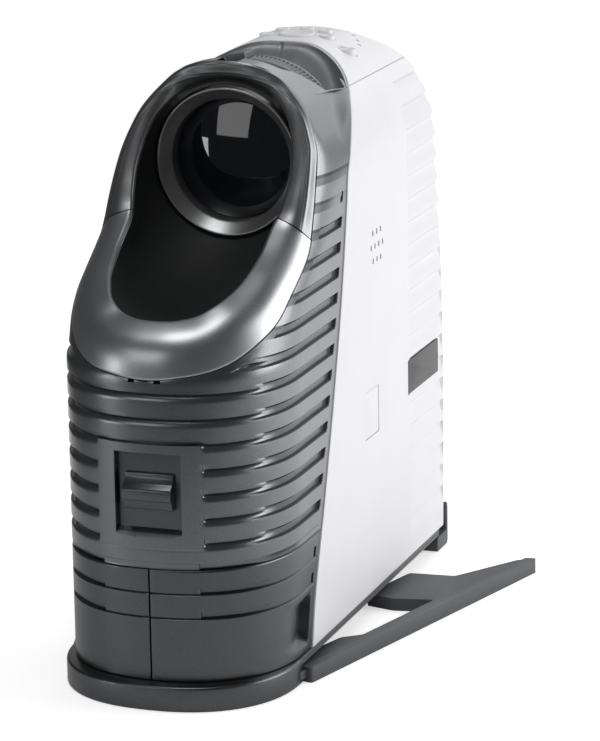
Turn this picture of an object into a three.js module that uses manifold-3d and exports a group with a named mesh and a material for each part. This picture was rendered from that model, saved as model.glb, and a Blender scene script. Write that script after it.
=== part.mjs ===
import * as THREE from 'three';
import { mergeVertices } from 'three/addons/utils/BufferGeometryUtils.js';
import Module from 'manifold-3d';

const wasm = await Module();
wasm.setup();

// An upright digital projector. Lengths are in millimetres, +Z is up and the front faces -Y.
// Depths below are measured back from the front of the plinth, and the whole group is then
// moved forward by half the depth, so the origin is under the middle of the body.
const bodyWidth = 98;
const bodyDepth = 256;
const bodyHeight = 249;
const shellInset = 0.5;
const shellWall = 2.6;
const gap = 0.3;
const overrun = 20;
const overlap = 1;
const curveSteps = 10;
const roundSteps = 32;
const cornerSteps = 3;

// Front nose: each level is half a rounded oval, pushed back as the front leans away.
const noseLength = 52;
const noseRoundness = 2.3;
const frontInset = 6;
const noseLevelShares = [0.03, 0.3, 0.546, 0.57, 0.61, 0.643, 0.667, 0.699, 0.723, 0.771, 0.807,
  0.843, 0.888, 0.916, 0.944, 0.972, 1.02];
const noseLeanShares = [0, 0, 0, 0.011, 0.024, 0.047, 0.078, 0.125, 0.157, 0.192, 0.219,
  0.25, 0.29, 0.34, 0.363, 0.375, 0.383];

// Rear wall and roof outlines, as shares of the body depth, width and height.
const rearLevelShares = [0.03, 0.273, 0.466, 0.59, 0.659, 0.731, 0.795, 0.863, 0.912, 0.948, 0.976, 1.02];
const rearDepthShares = [0.988, 0.994, 0.99, 0.984, 0.978, 0.97, 0.962, 0.947, 0.928, 0.898, 0.863, 0.8];
const rearCorner = 5;
const roofWidthShares = [0.51, 0.496, 0.474, 0.449, 0.418, 0.388, 0.347, 0.306, 0.245, 0.184, 0.122];
const roofHeightShares = [0.8, 0.827, 0.855, 0.886, 0.911, 0.927, 0.941, 0.952, 0.965, 0.9755, 0.984];
const hoodWidthShares = [0.51, 0.496, 0.471, 0.444, 0.421, 0.382, 0.344, 0.299, 0.241, 0.151, 0.08];
const hoodHeightShares = [0.8, 0.823, 0.851, 0.873, 0.888, 0.913, 0.935, 0.954, 0.974, 0.99, 0.998];

// Seam between the dark front shell and the white side panels, and the front rim of the roof.
const seamLevelShares = [0.02, 0.12, 0.278, 0.437, 0.598, 0.761, 0.8, 0.827, 0.855, 0.886, 0.911,
  0.93, 1.05];
const seamDepthShares = [0.25, 0.271, 0.325, 0.377, 0.424, 0.461, 0.468, 0.486, 0.512, 0.542, 0.572,
  0.6, 0.6];
const rimCentreDepth = 179;
const rimReach = 46;
const rimHalfWidth = 46;
const rimPower = 3;
const roofFlankHeight = 18;
const sideSeamHeight = bodyHeight - roofFlankHeight;

// Face opening: the outer edge lies on the nose, the inner edge frames the lens.
const faceOuterWidthShares = [0, 0.12, 0.245, 0.332, 0.388, 0.436, 0.461, 0.471, 0.476, 0.477, 0.471,
  0.467, 0.463, 0.457, 0.449, 0.437, 0.414, 0.383, 0.343, 0.296, 0.239, 0.149, 0];
const faceOuterHeightShares = [0.546, 0.55, 0.558, 0.57, 0.586, 0.606, 0.627, 0.651, 0.675, 0.701,
  0.727, 0.751, 0.777, 0.803, 0.831, 0.859, 0.884, 0.91, 0.932, 0.952, 0.972, 0.99, 0.997];
const faceInnerWidthShares = [0, 0.082, 0.156, 0.199, 0.238, 0.266, 0.292, 0.308, 0.318, 0.32, 0.322,
  0.333, 0.343, 0.348, 0.349, 0.345, 0.338, 0.323, 0.303, 0.268, 0.219, 0.145, 0];
const faceInnerHeightShares = [0.633, 0.634, 0.639, 0.647, 0.657, 0.667, 0.681, 0.698, 0.715, 0.733,
  0.751, 0.77, 0.792, 0.811, 0.829, 0.847, 0.866, 0.885, 0.902, 0.919, 0.936, 0.952, 0.964];
const faceInnerDepthShares = [0.076, 0.08, 0.094, 0.105, 0.121, 0.143, 0.17, 0.201, 0.232, 0.26, 0.287,
  0.309, 0.324, 0.337, 0.348, 0.358, 0.368, 0.378, 0.389, 0.402, 0.416, 0.431, 0.444];
const chinStationCount = 10;
const bandThickness = 1.8;
const chinBulgeShare = 0.17;
const hoodBulgeShare = 0.2;

// Lens and its rings, on an axis along Y.
const lensHeightShare = 0.8249;
const lensHeight = bodyHeight * lensHeightShare;
const lensFront = 104.5;
const trimRingRadius = 32;
const trimRingThroat = 26.8;
const trimRingLength = 15;
const trimConeLength = 11;
const barrelRadius = 31;
const barrelBore = 24.5;
const lensBulge = 5;
const lensSetback = 8;
const rearLensGap = 1;
const controlRingRadius = 38.3;
const focusRingStart = 121;
const focusRingWidth = 13;
const zoomRingStart = 136;
const zoomRingWidth = 13;
const ringSteps = 40;
const leverWidth = 9;
const leverHeight = 2.6;
const leverAngle = -10;

// Recess between the hood and the roof.
const recessWallThickness = 2.4;
const recessWallShare = 0.02;
const recessWallRise = 8.6;
const recessWallBottom = lensHeight + recessWallRise;

// Front grooves and the latch window.
const groovePitch = 10.26;
const topGrooveHeight = 183.9;
const grooveOpening = 4.4;
const grooveDepth = 1.7;
const grooveCount = 13;
const shortGrooveCount = 2;
const grooveRearMargin = 5;
const grooveFaceMargin = 6;
const windowHalf = 15;
const windowBottom = 70.5;
const windowTop = 106;
const windowBorder = 4;
const windowDepth = 5;
const frameSideMargin = 8;
const sliderWidth = 21;
const sliderHeight = 15;
const sliderBottom = 82;
const sliderTravel = 8;
const sliderNoseShare = 0.33;
const latchWall = 1.6;
const springRadius = 2;
const springWire = 0.6;
const springTurns = 6;
const springSteps = 8;
const springSides = 4;

// Lower front covers and the plinth.
const coverTop = 57.9;
const coverStepHeights = [48.3, 38.1];
const coverStepOpening = 2.2;
const coverStepDepth = 0.9;
const plinthHeight = 10.6;
const plinthProud = 0.6;
const plinthRear = 50;
const fingerScoopFront = 34;
const fingerScoopBottom = 13;
const fingerScoopTop = 36;
const fingerScoopDepth = 1.8;

// Base pan, rear feet and the swing-out stabiliser feet. A foot's own places are measured
// from its pivot, as it lies folded in: across from the pivot, then back along the bar.
const baseBottom = 7;
const basePlateTop = 10.1;
const baseTop = 13;
const baseRear = 251;
const baseInset = 0.4;
const baseCoreInset = 3;
const footSwingAngle = 15.4;
const footPivotX = 40;
const footPivotDepth = 38;
const footPinRadius = 2.2;
const footPinFloor = 0.6;
const footPinTop = 9;
const footEyeRadius = 6.5;
const footEyeBottom = 1.8;
const footEyeTop = 5.4;
const footHeight = 6.6;
const footPocket = 1;
const footOuter = 9.2;
const footRim = 4.6;
const footBarInner = 1.2;
const footStart = 16;
const footShoulder = 58;
const footWindowStart = 66;
const footWindowEnd = 122;
const footArmFront = 114;
const footArmRear = 149;
const footArmReach = 29;
const footArmNeck = 15;
const footHeel = 156;
const footHeelX = 9.5;
const footTipInner = 1.7;
const footTipCut = 3.5;
const footLength = 195;
const rearFootFront = 240;
const rearFootOuter = 49;
const rearFootWidth = 10;
const rearFootTop = 20;
const rearFootChamfer = 2;
const rearHookStart = 253.9;

// Tilt foot under the plinth, and its guide.
const tiltFootRadius = 9;
const tiltFootDepth = 26;
const tiltStemRadius = 4;
const tiltStemTop = 64;
const tiltPadHeight = 4;
const tiltPadLift = 0.2;
const tiltGuideRadius = 7;
const tiltGuideTop = 30;

// White side panels, their ribs, plates and speaker grille.
const panelBottom = 10.4;
const sideWall = 2.4;
const sideRibStart = 201;
const sideRibEnd = 249;
const sideRibDepth = 0.9;
const sideRibCount = 20;
const topSideRibHeight = 224.9;
const labelStart = 197.5;
const labelEnd = 243;
const labelBottom = 85;
const labelTop = 101;
const badgeStart = 137;
const badgeEnd = 156;
const badgeBottom = 80;
const badgeTop = 101;
const plateThickness = 0.7;
const platePocket = 1;
const speakerDepth = 155.9;
const speakerHeight = 162.3;
const grilleRowCounts = [3, 4, 3];
const grillePitch = 5.2;
const grilleSlitWidth = 1.7;
const grilleSlitHeight = 2.6;
const grilleRowPitch = 6.1;
const speakerRadius = 13;
const speakerRimDepth = 2.5;
const speakerMagnetRadius = 8;
const speakerLength = 8;

// Rear panel, its vent, connectors and power inlet.
const rearPanelHalf = 35;
const rearRegionFront = 200;
const ventSlotHeight = 3;
const ventSlotPitch = 6.2;
const ventSlotCount = 8;
const ventBottom = 18;
const ventHalf = 23;
const connectorPlateHalf = 24;
const connectorPlateBottom = 104;
const connectorPlateTop = 176;
const connectorPlateInset = 0.3;
const connectorPocket = 1.4;
const socketProud = 1.6;
const videoSocketHeight = 160;
const videoSocketWidth = 17;
const videoSocketTall = 8;
const videoSocketWall = 1.2;
const dataSocketWidth = 12;
const dataSocketTall = 11;
const dataSocketX = 12;
const roundSocketRadius = 4.6;
const roundSocketBore = 3;
const roundSocketSteps = 12;
const roundSocketPlaces = [[-15, 138], [0, 138], [-15, 118], [0, 118]];
const jackStripProud = 0.7;
const inletWidth = 27;
const inletTall = 20;
const inletFront = 236;
const inletHeight = 85;
const inletWall = 1.6;
const inletPinSize = 2;
const inletPinPitch = 7;
const inletPinLength = 9;

// Fan behind the lower rear vent.
const fanSize = 52;
const fanRear = 250.2;
const fanThickness = 12;
const fanHeight = 42;
const fanBore = 23.5;
const fanHubRadius = 9;
const fanBladeRadius = 22.6;
const fanBladeCount = 7;
const fanBladeThickness = 1.4;
const fanBladeTilt = 40;
const fanSpiderThickness = 1.6;
const fanSpiderArms = 3;
const fanArmWidth = 2.4;

// Inner frame and what it carries.
const frameX = -36;
const frameThickness = 1.6;
const frameFront = 92;
const frameStep = 160;
const frameRear = 226;
const frameStepHeight = 150;
const frameTop = 205;
const frameFlange = 12;
const engineFront = 166;
const engineRear = 208;
const engineBottom = 172;
const engineTop = 227;
const engineRight = 28;
const sinkHalf = 18;
const boardThickness = 1.6;
const sinkBaseThickness = 2.5;
const sinkDepth = 14;
const finCount = 8;
const finThickness = 1.4;
const lampFront = 158;
const lampRear = 216;
const lampBottom = 100;
const lampTop = 160;
const lampRight = 30;
const lampWall = 2;
const reflectorRadius = 24;
const reflectorThroat = 6;
const reflectorWall = 1.8;
const reflectorLength = 26;
const reflectorShares = [0, 0.2, 0.55, 1];
const burnerRadius = 3.6;
const burnerLength = 24;
const wheelRadius = 19;
const wheelThickness = 1.2;
const wheelHubRadius = 7;
const wheelHubThickness = 2;
const wheelHeight = 144;
const wheelX = -8;
const wheelMotorRadius = 8;
const wheelMotorLength = 7;
const supplyFront = 100;
const supplyRear = 190;
const supplyTop = 84;
const supplyRight = 32;
const supplyWall = 1.5;
const boardGap = 4;
const mainBoardFront = 96;
const mainBoardRear = 222;
const mainBoardBottom = 24;
const mainBoardTop = 142;
const standoffRadius = 2.5;
const chipSize = 24;
const chipHeight = 2;
const smallSteps = 14;

// Controls on the roof.
const buttonProud = 0.9;
const buttonStem = 4.4;
const buttonFlange = 1;
const controlDepth = 196;
const navRadius = 8;
const smallButtonRadius = 3.3;
const buttonRing = 14;
const buttonAngles = [0, 45, 90, 135, 180];
const powerRadius = 4.2;
const powerX = 25;
const powerSetback = 18;
const dotRadius = 1.1;
const dotSink = 1;
const dotRing = 27;
const dotAngles = [22, 33, 44, 55, 66];
const irWindowRadius = 4;
const irWindowHeight = 196;

// Materials, by finish.
const finish = (color, roughness, metalness) => new THREE.MeshStandardMaterial({ color, roughness,
  metalness });
const darkShell = finish(0x66686c, 0.42, 0.35);
const silverTrim = finish(0x8d9094, 0.36, 0.55);
const chinTrim = finish(0x7b7d81, 0.38, 0.45);
const blackPlastic = finish(0x1b1c1f, 0.5, 0);
const whitePlastic = finish(0xe9eaee, 0.5, 0);
const footGrey = finish(0x55585d, 0.55, 0.1);
const coatedGlass = finish(0x0c0f16, 0.05, 0);
const bareSteel = finish(0xa9abad, 0.35, 0.9);
const bareAluminium = finish(0xbfc1c3, 0.4, 0.9);
const boardGreen = finish(0x1d5a37, 0.6, 0);
const softRubber = finish(0x202124, 0.9, 0);

const projector = new THREE.Group();
projector.position.y = -bodyDepth / 2;

// Solid helpers.
function toSolid(geometry) {
  const bare = geometry.clone();
  bare.deleteAttribute('normal');
  bare.deleteAttribute('uv');
  const merged = mergeVertices(bare);
  const index = Array.from(merged.index.array);
  const triangles = [];
  for (let i = 0; i < index.length; i += 3) {
    const [a, b, c] = index.slice(i, i + 3);
    if (a !== b && b !== c && c !== a) triangles.push(a, b, c);
  }
  const vertProperties = new Float32Array(merged.attributes.position.array);
  const closed = (corners) => new wasm.Manifold(new wasm.Mesh({
    numProp: 3, vertProperties, triVerts: new Uint32Array(corners) }));
  const solid = closed(triangles);
  return solid.volume() > 0 ? solid : closed(triangles.slice().reverse());
}

function toGeometry(solid) {
  const { vertProperties, triVerts, numProp } = solid.getMesh();
  const geometry = new THREE.BufferGeometry();
  const positions = new Float32Array((vertProperties.length / numProp) * 3);
  for (let i = 0; i < positions.length / 3; i += 1) {
    positions.set(vertProperties.slice(i * numProp, i * numProp + 3), i * 3);
  }
  geometry.setAttribute('position', new THREE.BufferAttribute(positions, 3));
  geometry.setIndex(new THREE.BufferAttribute(new Uint32Array(triVerts), 1));
  geometry.computeVertexNormals();
  return geometry;
}

function addPart(name, solid, material, parent = projector) {
  const part = new THREE.Mesh(toGeometry(solid), material);
  part.name = name;
  parent.add(part);
  return part;
}

const join = (solids) => solids.reduce((whole, solid) => whole.add(solid));
const cut = (solid, tools) => tools.reduce((left, tool) => left.subtract(tool), solid);
const mirrored = (solid) => solid.mirror([1, 0, 0]);

function shapeOf(points) {
  return new THREE.Shape(points.map(([u, v]) => new THREE.Vector2(u, v)));
}

// A flat outline pulled along Z, along X (outline in y, z) or along Y (outline in x, z).
function extrude(points, length, holes = []) {
  const shape = shapeOf(points);
  shape.holes = holes.map((hole) => shapeOf(hole));
  return new THREE.ExtrudeGeometry(shape, { depth: length, bevelEnabled: false });
}

function prismZ(points, bottom, top, holes = []) {
  return toSolid(extrude(points, top - bottom, holes).translate(0, 0, bottom));
}

function prismX(points, left, right) {
  const turn = new THREE.Matrix4().set(0, 0, 1, left, 1, 0, 0, 0, 0, 1, 0, 0, 0, 0, 0, 1);
  return toSolid(extrude(points, right - left).applyMatrix4(turn));
}

function prismY(points, front, rear, holes = []) {
  const turn = new THREE.Matrix4().set(1, 0, 0, 0, 0, 0, -1, rear, 0, 1, 0, 0, 0, 0, 0, 1);
  return toSolid(extrude(points, rear - front, holes).applyMatrix4(turn));
}

function box(left, right, front, rear, bottom, top) {
  const geometry = new THREE.BoxGeometry(right - left, rear - front, top - bottom);
  return toSolid(geometry.translate((left + right) / 2, (front + rear) / 2, (bottom + top) / 2));
}

// A closed profile of (radius, distance) pairs turned round an axis along Y, Z or X.
function turnedY(profile, x, z, steps = roundSteps) {
  const points = profile.map(([radius, depth]) => new THREE.Vector2(radius, depth));
  return toSolid(new THREE.LatheGeometry([...points, points[0]], steps).translate(x, 0, z));
}

function turnedZ(profile, x, y, steps = roundSteps) {
  const points = profile.map(([radius, height]) => new THREE.Vector2(radius, height));
  const geometry = new THREE.LatheGeometry([...points, points[0]], steps).rotateX(Math.PI / 2);
  return toSolid(geometry.translate(x, y, 0));
}

function turnedX(profile, y, z, steps = roundSteps) {
  const points = profile.map(([radius, depth]) => new THREE.Vector2(radius, depth));
  const geometry = new THREE.LatheGeometry([...points, points[0]], steps).rotateZ(-Math.PI / 2);
  return toSolid(geometry.translate(0, y, z));
}

const tubeProfile = (inner, outer, near, far) => [[inner, near], [outer, near], [outer, far],
  [inner, far]];
const rodProfile = (radius, near, far) => tubeProfile(0, radius, near, far);

// A solid through rings of points, closed at both ends or into a loop.
function loft(rings, looped = false) {
  const size = rings[0].length;
  const positions = rings.flat().flatMap((point) => point.toArray());
  const triangles = [];
  const bands = looped ? rings.length : rings.length - 1;
  for (let i = 0; i < bands; i += 1) {
    const next = (i + 1) % rings.length;
    for (let j = 0; j < size; j += 1) {
      const after = (j + 1) % size;
      const corners = [i * size + j, i * size + after, next * size + after, next * size + j];
      triangles.push(corners[0], corners[1], corners[2], corners[0], corners[2], corners[3]);
    }
  }
  if (!looped) triangles.push(...capOf(rings[0], 0, true),
    ...capOf(rings.at(-1), size * (rings.length - 1), false));
  const geometry = new THREE.BufferGeometry();
  geometry.setAttribute('position', new THREE.Float32BufferAttribute(positions, 3));
  geometry.setIndex(triangles);
  return toSolid(geometry);
}

// The cap is triangulated in the plane that the ring faces.
function capOf(ring, offset, reverse) {
  const normal = new THREE.Vector3();
  ring.forEach((point, i) => normal.add(point.clone().cross(ring[(i + 1) % ring.length])));
  normal.normalize();
  const across = ring[1].clone().sub(ring[0]).normalize();
  const up = normal.clone().cross(across);
  const flat = ring.map((point) => new THREE.Vector2(point.dot(across), point.dot(up)));
  const faces = THREE.ShapeUtils.triangulateShape(flat, []);
  return faces.flatMap(([a, b, c]) => (reverse ? [a, c, b] : [a, b, c])).map((corner) => corner + offset);
}

// The value of a table of shares at a share of the other table.
function along(keys, values, key) {
  const last = keys.length - 1;
  if (key <= keys[0]) return values[0];
  if (key >= keys[last]) return values[last];
  const next = keys.findIndex((entry) => entry > key);
  const part = (key - keys[next - 1]) / (keys[next] - keys[next - 1]);
  return values[next - 1] + part * (values[next] - values[next - 1]);
}

// Body outline at one level: nose in front, rounded corners behind.
const halfWidth = bodyWidth / 2;
const noseStart = (z) => frontInset + bodyDepth * along(noseLevelShares, noseLeanShares, z / bodyHeight);
const rearDepth = (z) => bodyDepth * along(rearLevelShares, rearDepthShares, z / bodyHeight);

function noseDepthAt(x, z, inset = shellInset) {
  const half = halfWidth - inset;
  const length = noseLength - inset;
  const side = Math.min(Math.abs(x) / half, 1);
  return noseStart(z) + noseLength - length * (1 - side ** noseRoundness) ** (1 / noseRoundness);
}

function noseOutline(half, length, rear) {
  const right = [];
  for (let i = 0; i <= curveSteps; i += 1) {
    const angle = (i / curveSteps) * (Math.PI / 2);
    const across = half * Math.cos(angle) ** (2 / noseRoundness);
    right.push([across, rear - length * Math.sin(angle) ** (2 / noseRoundness)]);
  }
  const left = right.slice(0, -1).reverse().map(([x, y]) => [-x, y]);
  return [...right, ...left];
}

function cornerOutline(half, rear, radius) {
  const right = [];
  for (let i = 0; i <= cornerSteps; i += 1) {
    const angle = (i / cornerSteps) * (Math.PI / 2);
    right.push([half - radius + radius * Math.cos(angle), rear - radius + radius * Math.sin(angle)]);
  }
  return [...right.map(([x, y]) => [-x, y]), ...right.slice().reverse()];
}

function levelRing(z, inset, rear) {
  const nose = noseOutline(halfWidth - inset, noseLength - inset, noseStart(z) + noseLength);
  const back = cornerOutline(halfWidth - inset, rear - inset, rearCorner - inset / 2);
  return [...nose, ...back].map(([x, y]) => new THREE.Vector3(x, y, z));
}

// The full body, inset by a distance, under a roof outline, with one ring at each level.
function bodySolid(inset, roof, lowest) {
  const levels = [lowest, ...roof.levelShares.map((share) => bodyHeight * share)
    .filter((z) => z > lowest)];
  const rings = levels.map((z) => levelRing(z, inset, rearDepth(z)));
  const side = roof.widthShares.map((share, i) => [bodyWidth * share - inset,
    bodyHeight * roof.heightShares[i] - inset]);
  const top = [...side, ...side.slice().reverse().map(([x, z]) => [-x, z])];
  const foot = side[0][0];
  const outline = prismY([[-foot, -overrun], [foot, -overrun], ...top], -overrun, bodyDepth + overrun);
  return loft(rings).intersect(outline);
}

const hoodRoof = { widthShares: hoodWidthShares, heightShares: hoodHeightShares,
  levelShares: noseLevelShares };
const mainRoof = { widthShares: roofWidthShares, heightShares: roofHeightShares,
  levelShares: rearLevelShares };

const rimDepth = (x, back = 0) => rimCentreDepth - back - rimReach * Math.min(Math.abs(x) / rimHalfWidth,
  1) ** rimPower;

// Everything behind the seam between the front shell and the white panels.
function behindSeam(shift) {
  const sideLine = seamLevelShares.map((share, i) => [bodyDepth * seamDepthShares[i] + shift,
    bodyHeight * share]);
  const low = [sideLine[0][0], -overrun];
  const high = [sideLine.at(-1)[0], bodyHeight + overrun];
  const far = bodyDepth + overrun;
  return prismX([low, ...sideLine, high, [far, bodyHeight + overrun], [far, -overrun]], -bodyWidth,
    bodyWidth);
}

// The outer edge of the face in the side view, as (depth, height) pairs.
const faceOuter = faceOuterWidthShares.map((share, i) => {
  const x = bodyWidth * share;
  const z = bodyHeight * faceOuterHeightShares[i];
  return new THREE.Vector3(x, noseDepthAt(x, z), z);
});
const faceInner = faceInnerWidthShares.map((share, i) => new THREE.Vector3(
  bodyWidth * share, bodyDepth * faceInnerDepthShares[i], bodyHeight * faceInnerHeightShares[i]));

function inFrontOfFace(shift) {
  const edge = faceOuter.map((point) => [point.y - shift, point.z + shift]);
  const lowFront = [-overrun, edge[0][1]];
  return prismX([lowFront, ...edge, [edge.at(-1)[0], bodyHeight + overrun],
    [-overrun, bodyHeight + overrun]],
    -bodyWidth, bodyWidth);
}

// The recess behind the hood, open at the top between the lip and the roof rim.
const recessEdgeXs = [20, 26, 34.5];
const recessEdgeDepths = [116, 126, 137];
const recessCornerX = 38;
const recessFloorRise = 6.6;
const recessFloor = lensHeight + recessFloorRise;

function recessOutline(shift) {
  const edge = recessEdgeXs.map((x, i) => [x, recessEdgeDepths[i]]);
  const points = [...edge];
  for (let i = 0; i <= 2 * curveSteps; i += 1) {
    const x = recessCornerX * (1 - i / curveSteps);
    points.push([x, rimDepth(x, shift)]);
  }
  return [...points, ...edge.reverse().map(([x, y]) => [-x, y])];
}

// The front shell, grown by a clearance when it serves as a keep-out for its neighbours.
function shellSolid(clearance) {
  const outer = bodySolid(shellInset - clearance, hoodRoof, coverTop + gap - clearance);
  const inner = bodySolid(shellInset + shellWall + clearance, hoodRoof, -overrun);
  const rear = behindSeam(-gap / 2 + clearance);
  return cut(outer, [inner, rear, inFrontOfFace(clearance),
    prismZ(recessOutline(0), recessFloor, bodyHeight + overrun)]);
}

// Groove bars: a bar for each groove, limited by the face and the seam, less the body core.
function grooveBars() {
  const bars = [];
  for (let k = -shortGrooveCount; k < grooveCount; k += 1) {
    const top = topGrooveHeight - groovePitch * k;
    const bottom = top - grooveOpening;
    const seam = bodyDepth * along(seamLevelShares, seamDepthShares, top / bodyHeight);
    const faceDepth = along(faceOuterHeightShares, faceOuter.map((point) => point.y), top / bodyHeight);
    const shortening = k < 0 ? -k * groovePitch : 0;
    const front = top > faceOuter[0].z ? faceDepth + grooveFaceMargin + shortening * 2 : -overrun;
    bars.push(box(-bodyWidth, bodyWidth, front, seam - grooveRearMargin, bottom, top));
  }
  return join(bars);
}

function buildFrontShell() {
  const core = bodySolid(shellInset + grooveDepth, hoodRoof, -overrun);
  const plainFront = box(-windowHalf - frameSideMargin, windowHalf + frameSideMargin, -overrun,
    noseLength,
    windowBottom - windowBorder, windowTop + windowBorder);
  const grooves = grooveBars().subtract(core).subtract(plainFront);
  const window = box(-windowHalf, windowHalf, -overrun, noseLength, windowBottom, windowTop);
  const shell = cut(shellSolid(0), [grooves, window]);
  addPart('front_shell', shell, darkShell);
}

// Face trims: sections from the outer edge to the inner edge, bulging outwards.
function bandSection(outer, inner, tangent, bulgeShare, thickness) {
  const chord = inner.clone().sub(outer);
  const normal = chord.clone().cross(tangent).normalize();
  if (normal.y > 0) normal.negate();
  const rise = chord.length() * bulgeShare;
  const shareSteps = [0, 0.25, 0.5, 0.75, 1];
  const skin = shareSteps.map((share) => outer.clone().addScaledVector(chord, share)
    .addScaledVector(normal, rise * Math.sin(Math.PI * share)));
  const back = skin.map((point) => point.clone().addScaledVector(normal, -thickness)).reverse();
  return { ring: [...skin, ...back], normal, chord: chord.normalize() };
}

function stationTangent(i, points) {
  const before = points[Math.max(i - 1, 0)].clone();
  const after = points[Math.min(i + 1, points.length - 1)].clone();
  if (i === 0) before.set(-after.x, after.y, after.z);
  if (i === points.length - 1) after.set(-before.x, before.y, before.z);
  return after.sub(before).normalize();
}

function faceSection(i, thickness = bandThickness) {
  const bulge = i < chinStationCount ? chinBulgeShare : hoodBulgeShare;
  return bandSection(faceOuter[i], faceInner[i], stationTangent(i, faceOuter), bulge, thickness);
}

function bandBetween(first, last, thickness = bandThickness) {
  const half = [];
  for (let i = first; i <= last; i += 1) half.push(faceSection(i, thickness).ring);
  return half;
}

const mirroredRing = (ring) => ring.map((point) => new THREE.Vector3(-point.x, point.y, point.z));

function chinSolid(thickness) {
  const half = bandBetween(0, chinStationCount, thickness);
  return loft([...half.slice(1).reverse().map(mirroredRing), ...half]);
}

function hoodSolid(thickness) {
  const half = bandBetween(chinStationCount, faceOuter.length - 1, thickness);
  return loft([...half, ...half.slice(0, -1).reverse().map(mirroredRing)]);
}

function buildFaceTrims() {
  const keepOut = shellSolid(gap);
  const chin = chinSolid(bandThickness);
  const hood = hoodSolid(bandThickness);
  const seam = faceSection(chinStationCount);
  const lower = seam.ring.map((point) => point.clone().add(new THREE.Vector3(0, -gap, -gap)));
  const slice = loft([lower, seam.ring]);
  const chinOnly = chin.subtract(slice).subtract(mirrored(slice)).subtract(keepOut);
  addPart('chin_scoop', largest(chinOnly), chinTrim);
  addPart('hood_arch', largest(hood.subtract(keepOut)), silverTrim);
}

// Only the main body of a cut is kept, without slivers.
function largest(solid) {
  return solid.decompose().sort((a, b) => b.volume() - a.volume())[0];
}

// Funnel: from just under the face trims back to the lens ring.
const funnelRadius = trimRingRadius + gap;
const funnelDepth = 107;
const funnelWall = 1.6;
const funnelDipShare = 0.1;

function funnelRing(i, side) {
  const { normal, chord } = faceSection(i);
  const start = faceInner[i].clone().addScaledVector(chord, gap)
    .addScaledVector(normal, -bandThickness - gap);
  const bearing = Math.atan2(start.z - lensHeight, start.x);
  const end = new THREE.Vector3(funnelRadius * Math.cos(bearing), funnelDepth,
    lensHeight + funnelRadius * Math.sin(bearing));
  const outward = new THREE.Vector3(Math.cos(bearing), 0, Math.sin(bearing));
  const shares = [0, 0.35, 0.7, 1];
  const skin = shares.map((share) => start.clone().lerp(end, share)
    .addScaledVector(outward, start.distanceTo(end) * funnelDipShare * Math.sin(Math.PI * share)));
  const back = skin.map((point) => point.clone().addScaledVector(outward, funnelWall)).reverse();
  const ring = [...skin, ...back];
  return side < 0 ? mirroredRing(ring) : ring;
}

function buildFunnel() {
  const rings = [];
  const last = faceInner.length - 1;
  for (let i = 0; i <= last; i += 1) rings.push(funnelRing(i, 1));
  for (let i = last - 1; i > 0; i -= 1) rings.push(funnelRing(i, -1));
  const trims = chinSolid(bandThickness + gap / 2).add(hoodSolid(bandThickness + gap / 2));
  addPart('lens_funnel', largest(cut(loft(rings, true), [shellSolid(gap), trims])), blackPlastic);
}

// Lower front covers, split down the middle, with shallow steps and a finger scoop in each side.
function coverKeepOut(clearance) {
  const outer = bodySolid(shellInset - clearance, hoodRoof, plinthHeight + gap - clearance);
  const inner = bodySolid(shellInset + shellWall + clearance, hoodRoof, -overrun);
  const above = box(-bodyWidth, bodyWidth, -overrun, bodyDepth, coverTop + clearance,
    bodyHeight + overrun);
  return cut(outer, [inner, behindSeam(-gap / 2 + clearance), above]);
}

function buildFrontCovers() {
  const steps = coverStepHeights.map((z) => box(-bodyWidth, bodyWidth, -overrun, bodyDepth, z,
    z + coverStepOpening));
  const stepCore = bodySolid(shellInset + coverStepDepth, hoodRoof, -overrun);
  const scoop = box(-bodyWidth, bodyWidth, fingerScoopFront, bodyDepth, fingerScoopBottom, fingerScoopTop)
    .subtract(behindSeam(-grooveRearMargin));
  const scoopCore = bodySolid(shellInset + fingerScoopDepth, hoodRoof, -overrun);
  const ring = cut(coverKeepOut(0), [join(steps).subtract(stepCore), scoop.subtract(scoopCore)]);
  const rightHalf = box(gap / 2, bodyWidth, -overrun, bodyDepth, 0, bodyHeight);
  addPart('front_cover_right', ring.intersect(rightHalf), darkShell);
  addPart('front_cover_left', ring.intersect(mirrored(rightHalf)), darkShell);
}

// Stabiliser foot, in its own frame: the pivot is at the origin and the bar runs along +Y.
const footOutline = [[footOuter, footStart], [footOuter, footLength],
  [footTipInner, footLength - footTipCut],
  [-footHeelX, footHeel], [-footArmReach, footArmRear], [-footArmReach, footArmFront],
    [-footArmNeck, footArmFront],
  [footBarInner, footWindowEnd], [footBarInner, footWindowStart], [-footRim, footShoulder],
    [-footEyeRadius, footStart]];

const placedFoot = (solid, angle) => solid.rotate([0, 0, -angle])
  .translate([footPivotX, footPivotDepth, 0]);

function footTongue(radius, bottom, top, reach) {
  const eye = turnedZ(rodProfile(radius, bottom, top), 0, 0, smallSteps);
  return eye.add(box(-radius, radius, 0, reach, bottom, top));
}

function footSolid() {
  const plate = prismZ(footOutline, 0, footHeight);
  const pocket = box(-bodyWidth, footOuter - footRim, -overrun, footHeel + footRim,
    footHeight - footPocket, bodyHeight);
  const pinHole = turnedZ(rodProfile(footPinRadius + gap, -overrun, overrun), 0, 0, smallSteps);
  return plate.subtract(pocket).add(footTongue(footEyeRadius, footEyeBottom, footEyeTop,
    footStart + overlap)).subtract(pinHole);
}

function buildFeet() {
  const right = placedFoot(footSolid(), footSwingAngle);
  addPart('foot_right', right, footGrey);
  addPart('foot_left', mirrored(right), footGrey);
  const pin = turnedZ(rodProfile(footPinRadius, footPinFloor, footPinTop), footPivotX, footPivotDepth,
    smallSteps);
  addPart('foot_pin_right', pin, bareSteel);
  addPart('foot_pin_left', mirrored(pin), bareSteel);
}

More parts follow.
